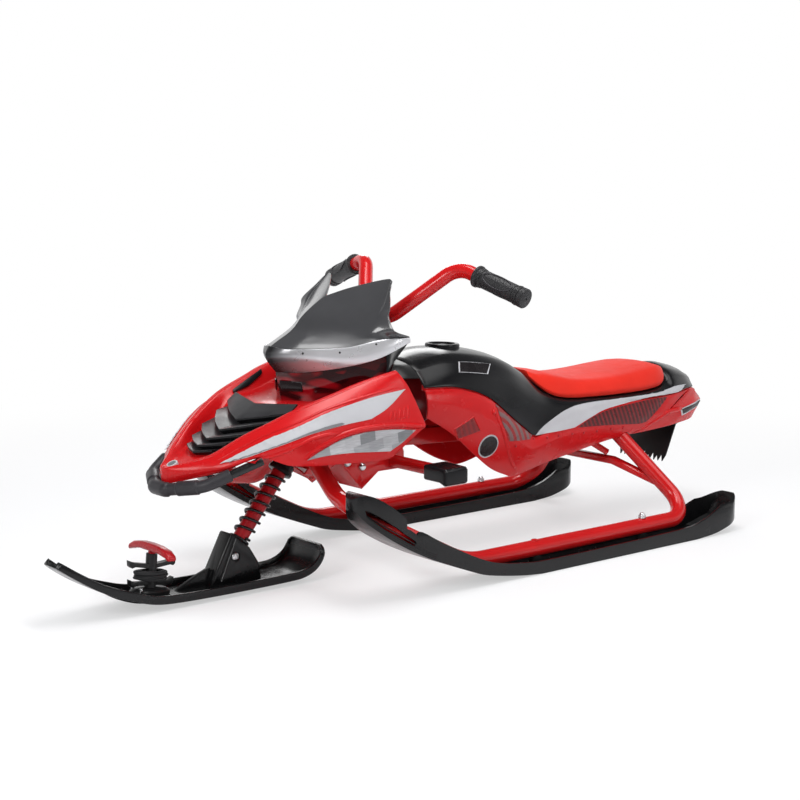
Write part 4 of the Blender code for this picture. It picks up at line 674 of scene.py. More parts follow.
COPIES = (  # piece, CAD node, look, body, then the width, segments and least angle of its rounded edges
    ("spine", "main_spine", "red_steel", "frame", 0.0025, 3),
    ("head_sleeve", "head_tube", "red_steel", "frame", 0.0005),
    ("gusset", "head_gusset", "red_steel", "frame", 0.0006, 2, 50),
    ("bracket", "peg_bracket", "red_steel", "frame", 0.0008),
    ("brace", "rear_cross_brace", "red_steel", "frame", 0.0010),
    ("left_strut", "left_brace_strut", "red_steel", "frame", 0.0008),
    ("right_strut", "right_brace_strut", "red_steel", "frame", 0.0008),
    ("bolt_front", "bracket_bolt_front", "zinc", "frame", 0.0004),
    ("bolt_rear", "bracket_bolt_rear", "zinc", "frame", 0.0004),
    ("cowl_bracket", "cowl_strap", "black_steel", "frame", 0.0),
    ("inner_wall", "inner_panel", "dark_red", "frame", 0.0006),
    ("rear_plate", "rear_body_bracket", "black_steel", "frame", 0.0006),
    ("rear_flap", "snow_flap", "rubber", "frame", 0.0007),
    ("left_lens", "left_headlight_lens", "lens", "frame", 0.0006, 3),
    ("right_lens", "right_headlight_lens", "lens", "frame", 0.0006, 3),
    ("left_intake", "left_intake_trim", "gloss_black", "frame", 0.0008, 3),
    ("right_intake", "right_intake_trim", "gloss_black", "frame", 0.0008, 3),
    ("cross_nut", "ski_cross_nut", "zinc", "steered_fork", 0.0004),
    ("collar", "stop_collar", "zinc", "steered_fork", 0.0004),
    ("clamp_base", "handlebar_clamp_base", "black_steel", "steered_fork", 0.0),
    ("clamp_cap", "handlebar_clamp_cap", "black_steel", "steered_fork", 0.0),
    ("cleat", "tow_cleat", "satin_black", "steered_fork", 0.0008, 3),
    ("left_screw", "left_cleat_screw", "zinc", "steered_fork", 0.0003),
    ("right_screw", "right_cleat_screw", "zinc", "steered_fork", 0.0003),
    ("pull_handle", "tow_handle", "shaded_red", "tow_grip", 0.0010, 3),
)


def refined(name, node, look, body, width, segments=2, angle=40):
    """Copy of a CAD node with its corners joined, its flat faces whole and its edges rounded."""
    bm = bmesh.new()
    bm.from_mesh(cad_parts[node].data)
    bmesh.ops.remove_doubles(bm, verts=bm.verts, dist=2e-6)
    bmesh.ops.dissolve_limit(bm, angle_limit=radians(0.6), verts=bm.verts, edges=bm.edges)
    obj = piece(name, bm, look, node, body)
    if width:
        bevel(obj, width, segments, angle)


def column_point(t, across=0.0):
    """Point at height t along the column, across in the sled's middle plane."""
    up = Vector((0.0, sin(RAKE), cos(RAKE)))
    back = Vector((0.0, cos(RAKE), -sin(RAKE)))
    return COLUMN_FOOT + up * t + back * across


def column_frame(t):
    """Matrix whose Z runs up the column, with its origin at height t."""
    return Matrix.Translation(column_point(t)) @ Matrix.Rotation(-RAKE, 4, "X")


def rail_path(side):
    """Centre line of a side rail: front leg, runner and rear leg."""
    x = side * TRACK / 2
    corners = [(side * 0.019, -0.215, 0.1985), (side * 0.100, -0.222, 0.136), (x, -0.242, 0.126),
               (x, -0.055, RUNNER_Z), (x, 0.441, RUNNER_Z), (side * 0.052, 0.392, 0.165),
               (side * 0.0128, 0.392, 0.165)]
    return bent_path(corners, [0.060, 0.056, 0.150, 0.042, 0.026])


# Frame

def weld_bead(name, centre, axis, radius, bead):
    """Rippled weld round a tube's root."""
    place = frame_between(centre, centre + axis)
    path, radii = [], []
    for k in range(90):
        a = radians(4.0 * k)
        reach = radius + 0.00035 * sin(a * radius / 0.00075)
        path.append(place @ Vector((reach * cos(a), reach * sin(a), 0.0)))
        radii.append(bead * (1.0 + 0.10 * sin(a * radius / 0.0011)))
    piece(name, sweep_bm(path, radii, 10, closed=True), "red_steel")


def frame_parts():
    """Tube rails with their welds, peg bar and foot pegs."""
    for side, word in SIDES:
        pipe(word + "_rail", rail_path(side), FRAME_TUBE_D, "red_steel", word + "_side_rail", "frame", 32,
             0.0, 0.012)
        weld_bead(word + "_brace_weld", Vector((side * 0.1424, 0.4229, 0.0775)), Vector((side, 0.16, -0.5)),
                  0.0080, 0.0018)
        foot_peg(side, word)
    lathe("peg_bar", "0 0, 8.5 0, 9.5 1, 9.5 329, 8.5 330, 0 330",
          Matrix.Translation((-0.165, -0.056, 0.1575)) @ Matrix.Rotation(radians(90), 4, "Y"), "red_steel",
          "foot_peg_bar")


def foot_peg(side, word):
    """Rubber block with grooves across its top and a rounded outer end."""
    width, depth = 0.052, 0.044
    middle = Vector((side * (0.175 - width / 2), -0.058, 0.1575))
    section = points("-26 -11, 9.36 -11, 20 -15, 26 -13, 26 7, 22 10.8, -26 12")
    bm = plate_bm([(side * x + middle.x, h + middle.z) for x, h in section], middle.y - depth / 2,
                  middle.y + depth / 2, 1)
    obj = piece(word + "_peg", bm, "gloss_black", word + "_foot_peg")
    bevel(obj, 0.0040, 5, 50)
    for k in range(5):
        place = Vector((middle.x, middle.y - depth / 2 + depth * (k + 0.85) / 5.7, middle.z + 0.0117))
        groove = bmesh.new()
        size = (width * 0.86, 0.0026, 0.003)
        bmesh.ops.create_cube(groove, size=1.0, matrix=Matrix.LocRotScale(place, None, size))
        carve(obj, groove)
    bevel(obj, 0.0004, 2, 40)


# Skis

SKI_UNDER = points("""-271 149, -266 136, -255 120.5, -227 98.5, -190 76.5, -150 57, -115 42.5, -72 26,
    -38 15, 24 4.5, 70 0, 420 0, 462 3.5, 496 11.5, 517 18.5, 530 25""")
SKI_RIM = points("""534.5 30, 535 42, 534 52, 529 58.5, 521 60.5, 506 59.5, 488 54, 465 42, 430 29, 370 21.5,
    106 19, 40 21.5, -17 30, -56 43, -101 64, -133 80, -165 98, -174 95""")
SKI_HOOK = points("-187 104, -193.5 108, -195 121, -221 142, -248 158, -262 159, -270 154.5")
SKI_SLOT = points("""-256 131, -227 107, -195 87.5, -180 80.5, -177 86, -196 99, -207 107.5, -227 121,
    -248 135, -258 140""")
SKI_FLOOR = 0.0055
SKI_HALF = 0.033
SKI_WALL = 0.0045
SKI_REAR = 0.532
TAIL_ARCH = (0.0345, 0.0335, 0.0272)  # half width, height of its foot, rise
SKI_BOLTS = ((0.321, "rear"), (0.085, "front"))


def ski_plan(half, front, rear, front_reach, rear_reach):
    """Plan outline of the left ski with an elliptical front and rear, as (x, y) points."""
    x = TRACK / 2
    back = [pi * k / 24 for k in range(25)]
    front_arc = [pi + pi * k / 32 for k in range(33)]
    return ([(x + half * cos(a), rear - rear_reach + rear_reach * sin(a)) for a in back]
            + [(x + half * cos(a), front + front_reach + front_reach * sin(a)) for a in front_arc])


def rear_skis():
    """Channel-shaped ski with a slotted tip loop and a scooped tail; the right one is its twin."""
    x = TRACK / 2
    low, high = x - SKI_HALF - 0.01, x + SKI_HALF + 0.01
    outline = curve2(SKI_UNDER[:11], 4) + curve2(SKI_UNDER[11:], 4) + curve2(SKI_RIM, 3) + curve2(SKI_HOOK, 3)
    ski = piece("left_ski", plate_bm(outline, low, high), "ski_plastic", "left_rear_ski")
    plan = ski_plan(SKI_HALF, -0.2705, SKI_REAR, 0.060, 0.042)
    carve(ski, plate_bm(plan, -0.05, 0.25, 2), "INTERSECT")
    floor = [(y, z + SKI_FLOOR) for y, z in curve2(SKI_UNDER, 4) if -0.20 < y < 0.51]
    inner = floor + points("512 29, 522 50, 522 200, -140 200, -200 110.5, -222 124, -236 120")
    channel = link("tool", to_mesh("tool", plate_bm(inner, x - SKI_HALF, x + SKI_HALF)))
    hollow = ski_plan(SKI_HALF - SKI_WALL, -0.24, SKI_REAR - SKI_WALL, 0.050, 0.038)
    carve(channel, plate_bm(hollow, -0.1, 0.3, 2), "INTERSECT")
    carve(ski, channel)
    half, low_z, rise = TAIL_ARCH
    crown = [(x + half * cos(pi * k / 24), low_z + rise * sin(pi * k / 24)) for k in range(25)]
    carve(ski, plate_bm(crown + [(x - half, 0.12), (x + half, 0.12)], 0.447, 0.56, 1))
    carve(ski, plate_bm(curve2(SKI_SLOT, 2), low, high))
    for y, _ in SKI_BOLTS:
        place = Matrix.Translation((x, y, SKI_FLOOR - 0.001))
        carve(ski, lathe_bm("0 0, 10.5 0, 8.8 4, 8.5 16.5, 0 16.5", place, 32), "UNION")
    carve(ski, sweep_bm(along_path(rail_path(1), 0.02), FRAME_TUBE_D / 2 + GAP, 32))
    bevel(ski, 0.0011, 3, 42, sharp=40.0)
    twin(ski, "right_ski", "right_rear_ski", sharp=40.0)
    under = curve2(SKI_UNDER[:9], 4)[6:22]
    for side, word in SIDES:
        for k, share in enumerate((0.20, 0.42, 0.64)):
            for end, face in (("inner", -side), ("outer", side)):
                path = []
                for y, z in under:
                    wide = SKI_HALF * (1 - max(0.0, (-0.2105 - y) / 0.060) ** 2) ** 0.5 - 0.0002
                    reach = share * (0.0095 + 0.0045 * sin(pi * min(1.0, max(0.0, (y + 0.262) / 0.105))))
                    path.append((side * x + face * wide, y + reach * 0.55, z + reach * 1.2))
                piece("%s_tip_rib_%s_%d" % (word, end, k + 1), sweep_bm(path, 0.0008, 8), "ski_plastic")
        for y, end in SKI_BOLTS:
            place = Matrix.Translation((side * x, y, RUNNER_Z + FRAME_TUBE_D / 2 + GAP))
            names = (word + "_nut_" + end, word + "_ski_bolt_" + end)
            if end == "rear":
                cap_nut(names[0], place, names[1])
            else:
                lathe(names[0], "0 -0.6, 5.8 -0.6, 5.4 0.2, 3.6 0.9, 0 1.1", place, "red_steel", names[1],
                      steps=32)


def cap_nut(name, place, node):
    """Domed cap nut on a washer."""
    bm = lathe_bm("0 0, 6.2 0, 6.2 0.8, 0 0.8", place, 32)
    merge(bm, lathe_bm("0 0.8, 5.952 0.8, 5.952 4.2, 5.332 4.8, 0 4.8", place, 6))
    merge(bm, lathe_bm("0 4.4, 4.464 4.4, 4.34 6, 3.348 7.6, 1.736 8.6, 0 8.8", place, 32))
    bevel(piece(name, bm, "zinc", node, sharp=32.0), 0.0003, 2, 35, False)


FRONT_SKI_LINE = points("""-628 80 360 9.5, -624 76.5 470 10, -606 63.2 620 10.5, -576 44 750 11,
    -552 32 850 12, -529 23 930 12.5, -497 13 990 12.5, -464 8.5 1000 12.5, -400 6.5 1000 12.5,
    -320 6 1000 12.5, -262 6.5 1000 12.5, -239 8 1000 12, -220 14 1000 11.5, -206.5 24.5 1000 10.5,
    -199.5 37 990 9, -198.5 46 930 8, -199 51.5 800 7""")  # y, z, width in thousandths, lip height
FRONT_SKI_HALF = 0.044
KEEL_DEPTH = 0.0060


def cross_bolt_frame(start):
    """Frame of the cross bolt, with Z along X and its origin at x = start."""
    return Matrix.Translation(column_point(-0.024) + SIDE * start) @ Matrix.Rotation(radians(90), 4, "Y")


def front_ski():
    """Lipped and keeled blade with a kicked-up tail and the ribbed tower of the column socket."""
    keels = [min(1.0, max(0.0, 3.2 - abs(k - 7.5))) for k in range(len(FRONT_SKI_LINE))]
    places = spline([p[:3] for p in FRONT_SKI_LINE], 4)
    sizes = spline([(p[3], keel, 0.0) for p, keel in zip(FRONT_SKI_LINE, keels)], 4)
    line = [Vector((0.0, p.x, p.y)) for p in places]
    sections = []
    for k, (p, e) in enumerate(zip(places, sizes)):
        along = (line[min(k + 1, len(line) - 1)] - line[max(k - 1, 0)]).normalized()
        up = Vector((0.0, -along.z, along.y))
        w = min(1.0, p.z) * FRONT_SKI_HALF
        lip = e.x
        drop = KEEL_DEPTH * max(0.0, min(1.0, e.y))
        half = [(0.0, 0.0055), (w * 0.5, 0.0047), (w - 0.0085, 0.0035), (w - 0.0053, 0.0047),
                (w - 0.0045, lip - 0.001), (w - 0.0037, lip), (w - 0.001, lip), (w - 0.0002, lip - 0.0006),
                (w, lip - 0.0015), (w, 0.0015), (w - 0.0008, 0.0004), (w - 0.0025, 0.0), (0.0085, 0.0),
                (0.0070, -drop * 0.5), (0.0052, -drop), (0.0, -drop)]
        half = [line[k] + up * h + SIDE * max(0.0, x) for x, h in half]
        sections.append(half + mirrored([q for q in half if q.x > 1e-9]))
    ski = piece("steering_ski", loft_bm(sections), "ski_plastic", "front_ski", "steered_fork")
    top_front, top_rear = column_point(0.0, -0.027), column_point(0.0, 0.014)
    outline = [top_front.yz, top_rear.yz] + points("-298 36, -293 8.5, -381 8.5, -378 24")
    half = TOWER_W / 2
    tower = link("tool", to_mesh("tool", plate_bm(outline, -half, half)))
    bevel(tower, 0.0035, 4, 60)
    groove_top = top_front.lerp(top_rear, 0.24) + Vector((0, 0, 0.004))
    for side in (-1, 1):
        out = SIDE * side * (half + 0.0008)
        carve(tower, sweep_bm([groove_top + out, Vector((0.0, -0.366, 0.019)) + out], 0.00275, 20))
        carve(tower, cylinder_bm(0.0078, 0.004, cross_bolt_frame(side * half - 0.002)))
    carve(ski, tower, "UNION")
    carve(ski, plate_bm(points("-436 9.5, -428 15, -396 30, -376 37.5, -360 9.5"), -0.004, 0.004), "UNION")
    carve(ski, cylinder_bm(COLUMN_D / 2 + GAP, 0.08, column_frame(-COLUMN_BELOW - GAP)))
    bevel(ski, 0.0010, 3, 48, sharp=40.0)
    lathe("cross_bolt_head", "0 13.5, 6 13.5, 6.2 14.3, 5.4 15.7, 3.6 16.7, 2.4 16.9, 2.2 15.7, 0 15.7",
          cross_bolt_frame(0.0), "zinc", "ski_cross_bolt", "steered_fork", 32)


# Steering

def steering_parts():
    """Column, spring with its seat and cup, handlebar and grips."""
    lathe("column", "9 -48, 11 -48, 11 379, 10.2 380, 9 380", column_frame(0.0), "shaded_red",
          "steering_column", "steered_fork")
    lathe("lower_seat", "11.3 0.3, 15.2 0.3, 16 1, 16 3.2, 15.2 4, 11.3 4", column_frame(0.0), "black_steel",
          "spring_seat", "steered_fork")
    wire = SPRING_WIRE / 2
    low = SPRING_SEAT_H + GAP + wire
    high = low + SPRING_LENGTH - SPRING_WIRE
    radius = SPRING_D / 2 - wire
    per_turn = 36
    count = int(SPRING_TURNS * per_turn)
    path = []
    for k in range(count + 1):
        a = 2 * pi * k / per_turn
        height = low + (high - low) * k / count
        path.append(column_frame(0.0) @ Vector((radius * cos(a), radius * sin(a), height)))
    spring = piece("spring", sweep_bm(path, wire, 14, 0.0006), "black_steel", "coil_spring", "steered_fork")
    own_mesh(spring)
    lathe("upper_cup", """11.6 0, 16.5 0, 18.1 0.6, 18.5 1.8, 18.5 5.6, 17.9 6.8, 16.9 7.4, 16.9 14.6,
        15.9 16, 11.6 16""", column_frame(high + wire + GAP), "gloss_black", "spring_cup", "steering_head")
    along = (GRIP_END - GRIP_START).normalized()
    half = [BAR_LOW, GRIP_START - along * GRIP_BEND, GRIP_END - along * 0.001]
    corners = mirrored(half) + half
    pipe("bar", bent_path(corners, BAR_BENDS, 12), BAR_D, "red_steel", "handlebar", "steered_fork", 32, 0.001,
         0.015)
    for side, word in SIDES:
        grip(side, word)


def grip(side, word):
    """Rubber grip: flange, knurled body with an oval outline on two sides, dotted collars and a cap."""
    start, end = (Vector((side * p.x, p.y, p.z)) for p in (GRIP_START, GRIP_END))
    length = (end - start).length
    body = 0.0138
    head = points("""11.3 0, 15.4 0, 16.6 1.2, 16.6 4, 15.4 5.2, 14.5 6, 14.5 12.5, 13.2 13.2, 13.2 14.6,
        13.8 15.2""")
    cap = points("""13.8 -14, 13 -13.4, 13 -12, 14.5 -11.2, 14.5 -5.2, 13.3 -4.6, 13.3 -3.4, 14.9 -2.6,
        14.9 3.8, 14 5.2, 12.2 5.8, 2 6, 1.6 4.8, 0 4.8, 0 0, 11.3 0""")
    place = frame_between(start, end)
    lathe(word + "_handle", head + [(r, length + h) for r, h in cap], place, "grip_rubber", word + "_grip",
          "steered_fork", 56, 28.0)
    facing = place.to_3x3().transposed() @ Vector((side * 0.30, -0.72, 0.62))
    toward = atan2(facing.y, facing.x)
    for k in range(2):
        path = []
        for step in range(48):
            a = 2 * pi * step / 48
            around = toward + pi * k + 0.78 * sin(a)
            path.append(place @ Vector(((body + 0.0005) * cos(around), (body + 0.0005) * sin(around),
                                        length * (0.50 + 0.30 * cos(a)))))
        piece("%s_grip_oval_%d" % (word, k + 1), sweep_bm(path, 0.0012, 10, closed=True), "sleeve",
              body="steered_fork")
    dots = bmesh.new()
    outward = Matrix.Translation((body + 0.0007, 0.0, 0.0)) @ Matrix.Rotation(radians(90), 4, "Y")
    for height in (0.0092, length - 0.0083):
        for k in range(26):
            turn = Matrix.Translation((0.0, 0.0, height)) @ Matrix.Rotation(2 * pi * k / 26, 4, "Z")
            merge(dots, lathe_bm("0 -0.6, 1.1 -0.6, 0.9 0.5, 0 0.7", place @ turn @ outward, 8))
    piece(word + "_grip_dots", dots, "rubber", body="steered_fork", sharp=60.0)


# Front bodywork

COWL_STATIONS = vector_rows("""
0 -449 191, 0 -449 191, 0 -450 190.5, 0 -450 190, 0 -450 187, 0 -450 181, 0 -449 175, 0 -448 171;
0 -447 192, 5 -447 192, 9 -446 193, 12 -445 192, 15 -444 189, 16 -443 182, 14 -443 176, 12 -443 171;
0 -424 194, 16 -423 195, 27 -421 202, 33 -420 201, 42 -419 196, 48 -417 190, 46 -416 184, 42 -416 180;
0 -403 200, 32 -400 200, 46 -398 212, 54 -397 211, 67 -396 205, 77 -394 198, 76 -393 194, 72 -393 191;
0 -366 210, 55 -362 214, 65 -360 236, 74 -359 235, 92 -357 227, 103 -356 214, 102 -355 210, 99 -355 208;
0 -330 222, 70 -326 228, 82 -324 254, 92 -323 253, 112 -321 243, 124 -320 226, 120 -319 210, 118 -319 196;
0 -304 238, 80 -298 244, 93 -294 268, 103 -293 267, 121 -290 255, 132 -288 232, 125 -287 212, 124 -287 192;
0 -296 262, 86 -270 262, 101 -266 278, 111 -264 277, 127 -262 264, 136 -260 235, 128 -259 212, 126 -258 190;
0 -256 268, 92 -238 266, 107 -234 288, 117 -232 287, 131 -230 273, 140 -228 238, 131 -227 212, 129 -226 189;
0 -200 262, 99 -202 274, 115 -198 300, 124 -197 298, 135 -196 283, 144 -194 241, 134 -192 212, 132 -191 188;
0 -190 262, 105 -164 286, 121 -160 309, 129 -160 307, 137 -160 291, 147 -152 243, 137 -152 213, 133 -152 188;
0 -180 262, 110 -140 298, 125 -135 314, 131 -134 311, 138 -120 290, 148 -95 232, 142 -113 216, 135 -130 200
""")
COWL_STEPS = 5
COLUMN_WINDOW = 0.040
WINDOW_START = 8 * COWL_STEPS + 3
WINDSHIELD_ROWS = vector_rows("""
    0 -252 309, 32 -230 309.5, 78 -188 318, 104 -147 329.5, 113.5 -98 350;
    0 -269.6 331, 32 -248 331, 79 -191 331, 104.5 -146 342, 114.5 -98 353.5;
    0 -263 345.5, 31 -249 343.5, 77 -188 345, 101 -143 355, 115 -98.7 356.5;
    0 -250 353, 31 -231 352, 76 -174 355, 98 -143 361, 118 -124 364;
    0 -226 366, 30 -203 368, 77 -158 369, 96 -143 370, 116 -131 371;
    0 -208 384, 30 -183 388, 78 -142 390, 92 -136 389, 105 -131 389;
    0 -186 400, 29 -160 406, 79 -124 411, 92 -126 406, 104 -128 401;
    0 -163 413, 28 -136 426, 68 -103 438.5, 79 -105 434, 88 -113 422""")
HOUSING_ROWS = vector_rows("""
    0 -244.8 264, 38.2 -224.8 264.5, 73.7 -184.8 277.6, 97.8 -155 291.5, 115.2 -138 304.3;
    0 -250 288, 40 -226 290, 76 -184 302, 99 -146 313, 112 -127 320;
    0 -254.6 306, 31 -229.6 310, 74 -182.4 325, 96.6 -139.6 337, 108.6 -114.6 342;
    0 -254.2 313, 30 -229.4 317, 72 -180.9 331, 93 -138 343, 103.4 -108 348""")


def cowl():
    """Nose cowl: a deck between two ridged arms that spread to the rear, open behind for the column."""
    stations = []
    for middle, edge, *rest in COWL_STATIONS:
        window = middle.lerp(edge, COLUMN_WINDOW / max(edge.x, 2 * COLUMN_WINDOW))
        stations.append([middle, window, edge] + rest)
    crown = (0.0, 0.0, 0.0, 0.0002, 0.0006, 0.0008, 0.0, 0.0)
    rows = mirrored_rows(fine_rows(stations, COWL_STEPS, 0.0026, crown))

    def open_cell(i, j):
        return i >= WINDOW_START and max(abs(rows[i][j].x), abs(rows[i][j + 1].x)) < COLUMN_WINDOW + 0.0004

    skin("nose_cowl", rows, SHELL, "red_plastic", "cowl", open_cell, rim=0.0009)


def fin_edge(fin, back, height, inset=0.0):
    """Half of a chevron line over a fin: apex, quarter and outer point."""
    apex_y, apex_z, x, y, z = fin
    return [(0, apex_y + back, apex_z + height),
            (x * 0.5, apex_y * 0.62 + y * 0.38 + back, (apex_z + z) / 2 + height),
            (x - inset, y + back * 0.6, z + height)]


def louvre_insert():
    """Stepped chevron fins in the recess of the cowl's deck."""
    fins = [(-399, 202, 32, -388, 207), (-391, 210, 43, -372, 216), (-376, 218, 56, -346, 228),
            (-354, 228, 69, -312, 243), (-325, 240, 77, -287, 254), (-302, 262, 77, -279, 268)]
    front = ((9.0, -1.0), (0.4, 3.8), (0.0, 4.2), (0.0, 6.4), (0.5, 7.0))
    for k, (fin, behind) in enumerate(zip(fins, fins[1:])):
        lines = [fin_edge(fin, back, height) for back, height in front]
        rear = fin_edge(behind, *((11.0, 4.0) if k == 4 else (8.5, -0.8)), 1)
        for share in (0.5, 1.0):
            lines.append([tuple(Vector(a).lerp(Vector(b), share)) for a, b in zip(lines[4], rear)])
        rows = [spline(vectors(line), 6) for line in lines]
        obj = skin("louvre_fin_%d" % (k + 1), mirrored_rows(rows), 0.0020, "gloss_black",
                   None if k else "louvre_insert", rim=0.0, sharp=25.0)
        # Faces that point up take the lighter look: painted light on the fins' tops.
        obj.data.materials.append(LOOKS["fin_top_painted_light"])
        for face in obj.data.polygons:
            face.material_index = int(face.normal.z > 0.55)


def windshield():
    """Glossy double-lobed screen over a flared band with a painted reflection, and a black cheek on each
    side.
    """
    columns = zip(*(spline(row, 6) for row in WINDSHIELD_ROWS))
    rows = [list(row) for row in zip(*(spline(c[:3], 4)[:-1] + spline(c[2:], 6) for c in columns))]
    skin("screen", mirrored_rows(rows[8:]), 0.0025, "screen_dark_with_painted_reflection", "windshield", rim=0.0006)
    skin("screen_band", mirrored_rows(rows[:9]), 0.0025, "band_painted_reflection", rim=0.0006)
    rear, front, foot = vectors([(112.5, -99, 349), (103, -134, 341), (121.5, -146, 312)])
    rows = []
    for k in range(5):
        low, high = rear.lerp(foot, k / 4), front.lerp(foot, k / 4)
        rows.append([low.lerp(high, t / 3) + SIDE * 0.0025 * sin(pi * t / 3) for t in range(4)])
    rows[-1] = [p + Vector((0.0, 0.0015 * (1.5 - t), 0.0)) for t, p in enumerate(rows[-1])]
    twin(skin("left_cheek", rows, 0.0022, "gloss_black", up=SIDE, sharp=40.0), "right_cheek", sharp=40.0)


def lamp_housing():
    """Housing between the cowl's deck and the windshield."""
    rows = spline_rows([spline(row, 4) for row in HOUSING_ROWS], 3)
    skin("lamp_housing", mirrored_rows(rows), 0.003, "lamp_red_with_painted_reflections", "headlight_housing", up=Vector((0, -1, 0.3)),
         rim=0.0)


def bumper():
    """Bent tube round the nose with a rubber sleeve on its front."""
    radii = [0.036, 0.010, 0.010, 0.036]
    outer, bend, nose = vectors([(102, -351, 204.5), (66, -424, 171.5), (13, -453, 163)])
    half = [outer, bend, nose]
    pipe("nose_tube", bent_path(half + mirrored(half), radii, 10), BUMPER_D, "black_steel", "bumper_tube",
         "frame", 24, 0.0015, 0.01)
    half[0] = bend.lerp(outer, 0.45)
    line = along_path(bent_path(half + mirrored(half), radii, 10), 0.0015)
    radii = [0.0104 if 0.030 < abs(p.x) < 0.058 or abs(p.x) < 0.017 else 0.0088 for p in line]
    piece("nose_sleeve", sweep_bm(line, radii, 28, 0.0012), "sleeve", "bumper_sleeve", sharp=50.0)


# Body

BODY_LINES = dict(zip(("crown", "shoulder", "edge", "belt", "crease", "sill"), table("""
    0 -42 312, 0 20 322, 0 80 319, 0 140 306, 0 186 284, 0 222 258, 0 262 230, 0 320 224, 0 400 222,
    0 480 224, 0 514 232, 0 530 256, 0 572 250, 0 606 236, 0 618 224;
    50 -42 305, 54 20 315, 56 80 311, 55 140 297, 53 186 274, 54 222 246, 60 262 228, 66 320 223, 66 400 221,
    62 480 223, 52 514 229, 46 531 246, 40 572 241, 30 604 230, 20 617 221;
    72 -42 288, 78 20 293, 81 80 284, 81 140 266, 78 186 240, 77 222 226, 79 262 222, 81 320 220, 80 400 219,
    76 480 220, 69 514 224, 64 534 230, 53 574 226, 38 602 221, 26 616 214;
    82 -42 275, 88 20 270, 90 80 250, 87 130 215, 84 165 191, 83 192 177, 84 250 196, 85 320 208, 85 400 212,
    81 476 212, 76 508 212, 72 534 213, 60 574 214, 46 600 212, 30 617 208;
    90 -42 256, 95 20 240, 96 80 214, 94 128 186, 90 160 166, 87 186 158, 86 250 170, 86 320 174, 85 385 176,
    84 430 179, 82 456 180, 81 476 181, 79 500 182;
    88 -42 229, 86 10 199, 80 60 161, 72 100 134, 66 134 119, 65 161 113, 67 226 126, 73 290 138, 75 340 146,
    76 372 150, 77 388 151, 77 400 152, 77 414 153""")))
SEAT_LINE = points("""270 48 3, 272 60 5, 270.5 68 8, 266 72 10, 260 76 11, 256 78 12, 254.5 79 13, 256 79 13,
    259.5 78 13, 262.5 73 13, 262 66 12, 258.5 56 12""")  # height of the top, half width, height of the side


def stations_of(*names):
    """Stations along the body, one point from each named line."""
    return [vectors(row) for row in zip(*(BODY_LINES[name] for name in names))]


def top_cover():
    """Black upper shell of tank, seat base and tail top, with its filler cap."""
    rows = fine_rows(stations_of("crown", "shoulder", "edge", "belt"), 6, 0.009, (0.0015, 0.0012, 0.0004))
    obj = skin("tank_cover", mirrored_rows(rows), SHELL, "gloss_black", "top_cover")
    place = Matrix.Translation((0.0, 0.064, 0.3195)) @ Matrix.Rotation(radians(-2.0), 4, "X")
    carve(obj, cylinder_bm(0.0273, 0.04, place @ Matrix.Translation((0, 0, -0.02)), 64), sharp=50.0)
    lathe("filler_cap", """0 -6, 27 -6, 27 3, 26.6 4.6, 25.4 5.6, 22.4 5.6, 21.2 4.8, 20.5 3, 20 2.6, 8.5 2.6,
        7.5 3.4, 0 3.8""", place, "gloss_black", "fuel_cap", "frame", 64)


def side_panels():
    """Red lower side panels with a crease along them, cut round the rear legs."""
    drop = Vector((-0.0004, 0.0, -(SHELL + GAP)))
    rows = []
    for row in fine_rows(stations_of("belt", "crease", "sill"), 6, 0.0035, (0.0006, 0.0012)):
        lip = [row[0] + Vector((-0.0044, 0.0, 0.0030)), row[0] + drop * 0.9 - SIDE * 0.0040, row[0] + drop]
        rows.append(lip + row[1:])
    panel = skin("left_panel", rows, SHELL, "red_plastic", "left_side_panel", up=SIDE)
    carve(panel, sweep_bm(along_path(rail_path(1), 0.01), FRAME_TUBE_D / 2 + 4 * GAP, 32), sharp=50.0)
    twin(panel, "right_panel", "right_side_panel", sharp=50.0)


def tail_piece():
    """Red shell that wraps round the rear end of the body, with an inner lip at its top."""
    rows = vector_rows("""
        59.6 577 210.6, 78.4 502.5 181.6, 77 417 152.5; 50 598 208, 73 545 183, 75 470 154;
        40 612 206, 65 590 186, 70 534 157; 22 624 204, 44 625 189, 52 592 160;
        0 627 203, 0 633 190, 0 606 162""")
    rows = [soften(row, 0.0090, 0.40) for row in spline_rows(rows, 6)]
    for row in rows:
        x, y, z = row[0]
        row[:0] = [Vector((x * 0.72, y - 0.016, z + 0.017)), Vector((x * 0.86, y - 0.009, z + 0.007))]
    other = [mirrored(row[::-1]) for row in reversed(rows[:-1])]
    skin("tail_shell", rows + other, SHELL, "red_plastic", "tail_piece", up=Vector((0, 1, 0)))


def seat_cushion():
    """Crowned foam pad that follows the top cover underneath."""
    lines = ([p * 0.001 + Vector((0.0, 0.0, 0.0030)) for p in spline(BODY_LINES[name], 2)[9:]]
             for name in ("crown", "shoulder", "edge"))
    sections = []
    for c, s, e, (top, half, side) in zip(*lines, SEAT_LINE):
        top = max(top, c.z + 0.0025)
        reach = half * 0.94
        inside = reach < s.x
        foot = c.lerp(s, reach / s.x) if inside else s.lerp(e, (reach - s.x) / (e.x - s.x))
        sections.append([Vector((0.0, c.y, top)), Vector((half * 0.30, c.y, top - 0.0006)),
                         Vector((half * 0.55, c.y, top - 0.002)),
                         Vector((half * 0.86, foot.y, top * 0.70 + (foot.z + side) * 0.30)),
                         Vector((half, foot.y, foot.z + side * 0.8)),
                         foot + Vector(((half - reach) * 0.6, 0.0, side * 0.25)), foot,
                         c.lerp(s, 0.5 * reach / s.x) if inside else s, c])
    loops = []
    for row in spline_rows(sections, 4):
        half = spline(row[:6], 4) + row[6:]
        loops.append(half + mirrored([p for p in half if p.x > 1e-6]))
    obj = piece("seat_pad", loft_bm(loops), "foam", "seat_cushion", sharp=60.0)
    bevel(obj, 0.0012, 3, 40, sharp=60.0)


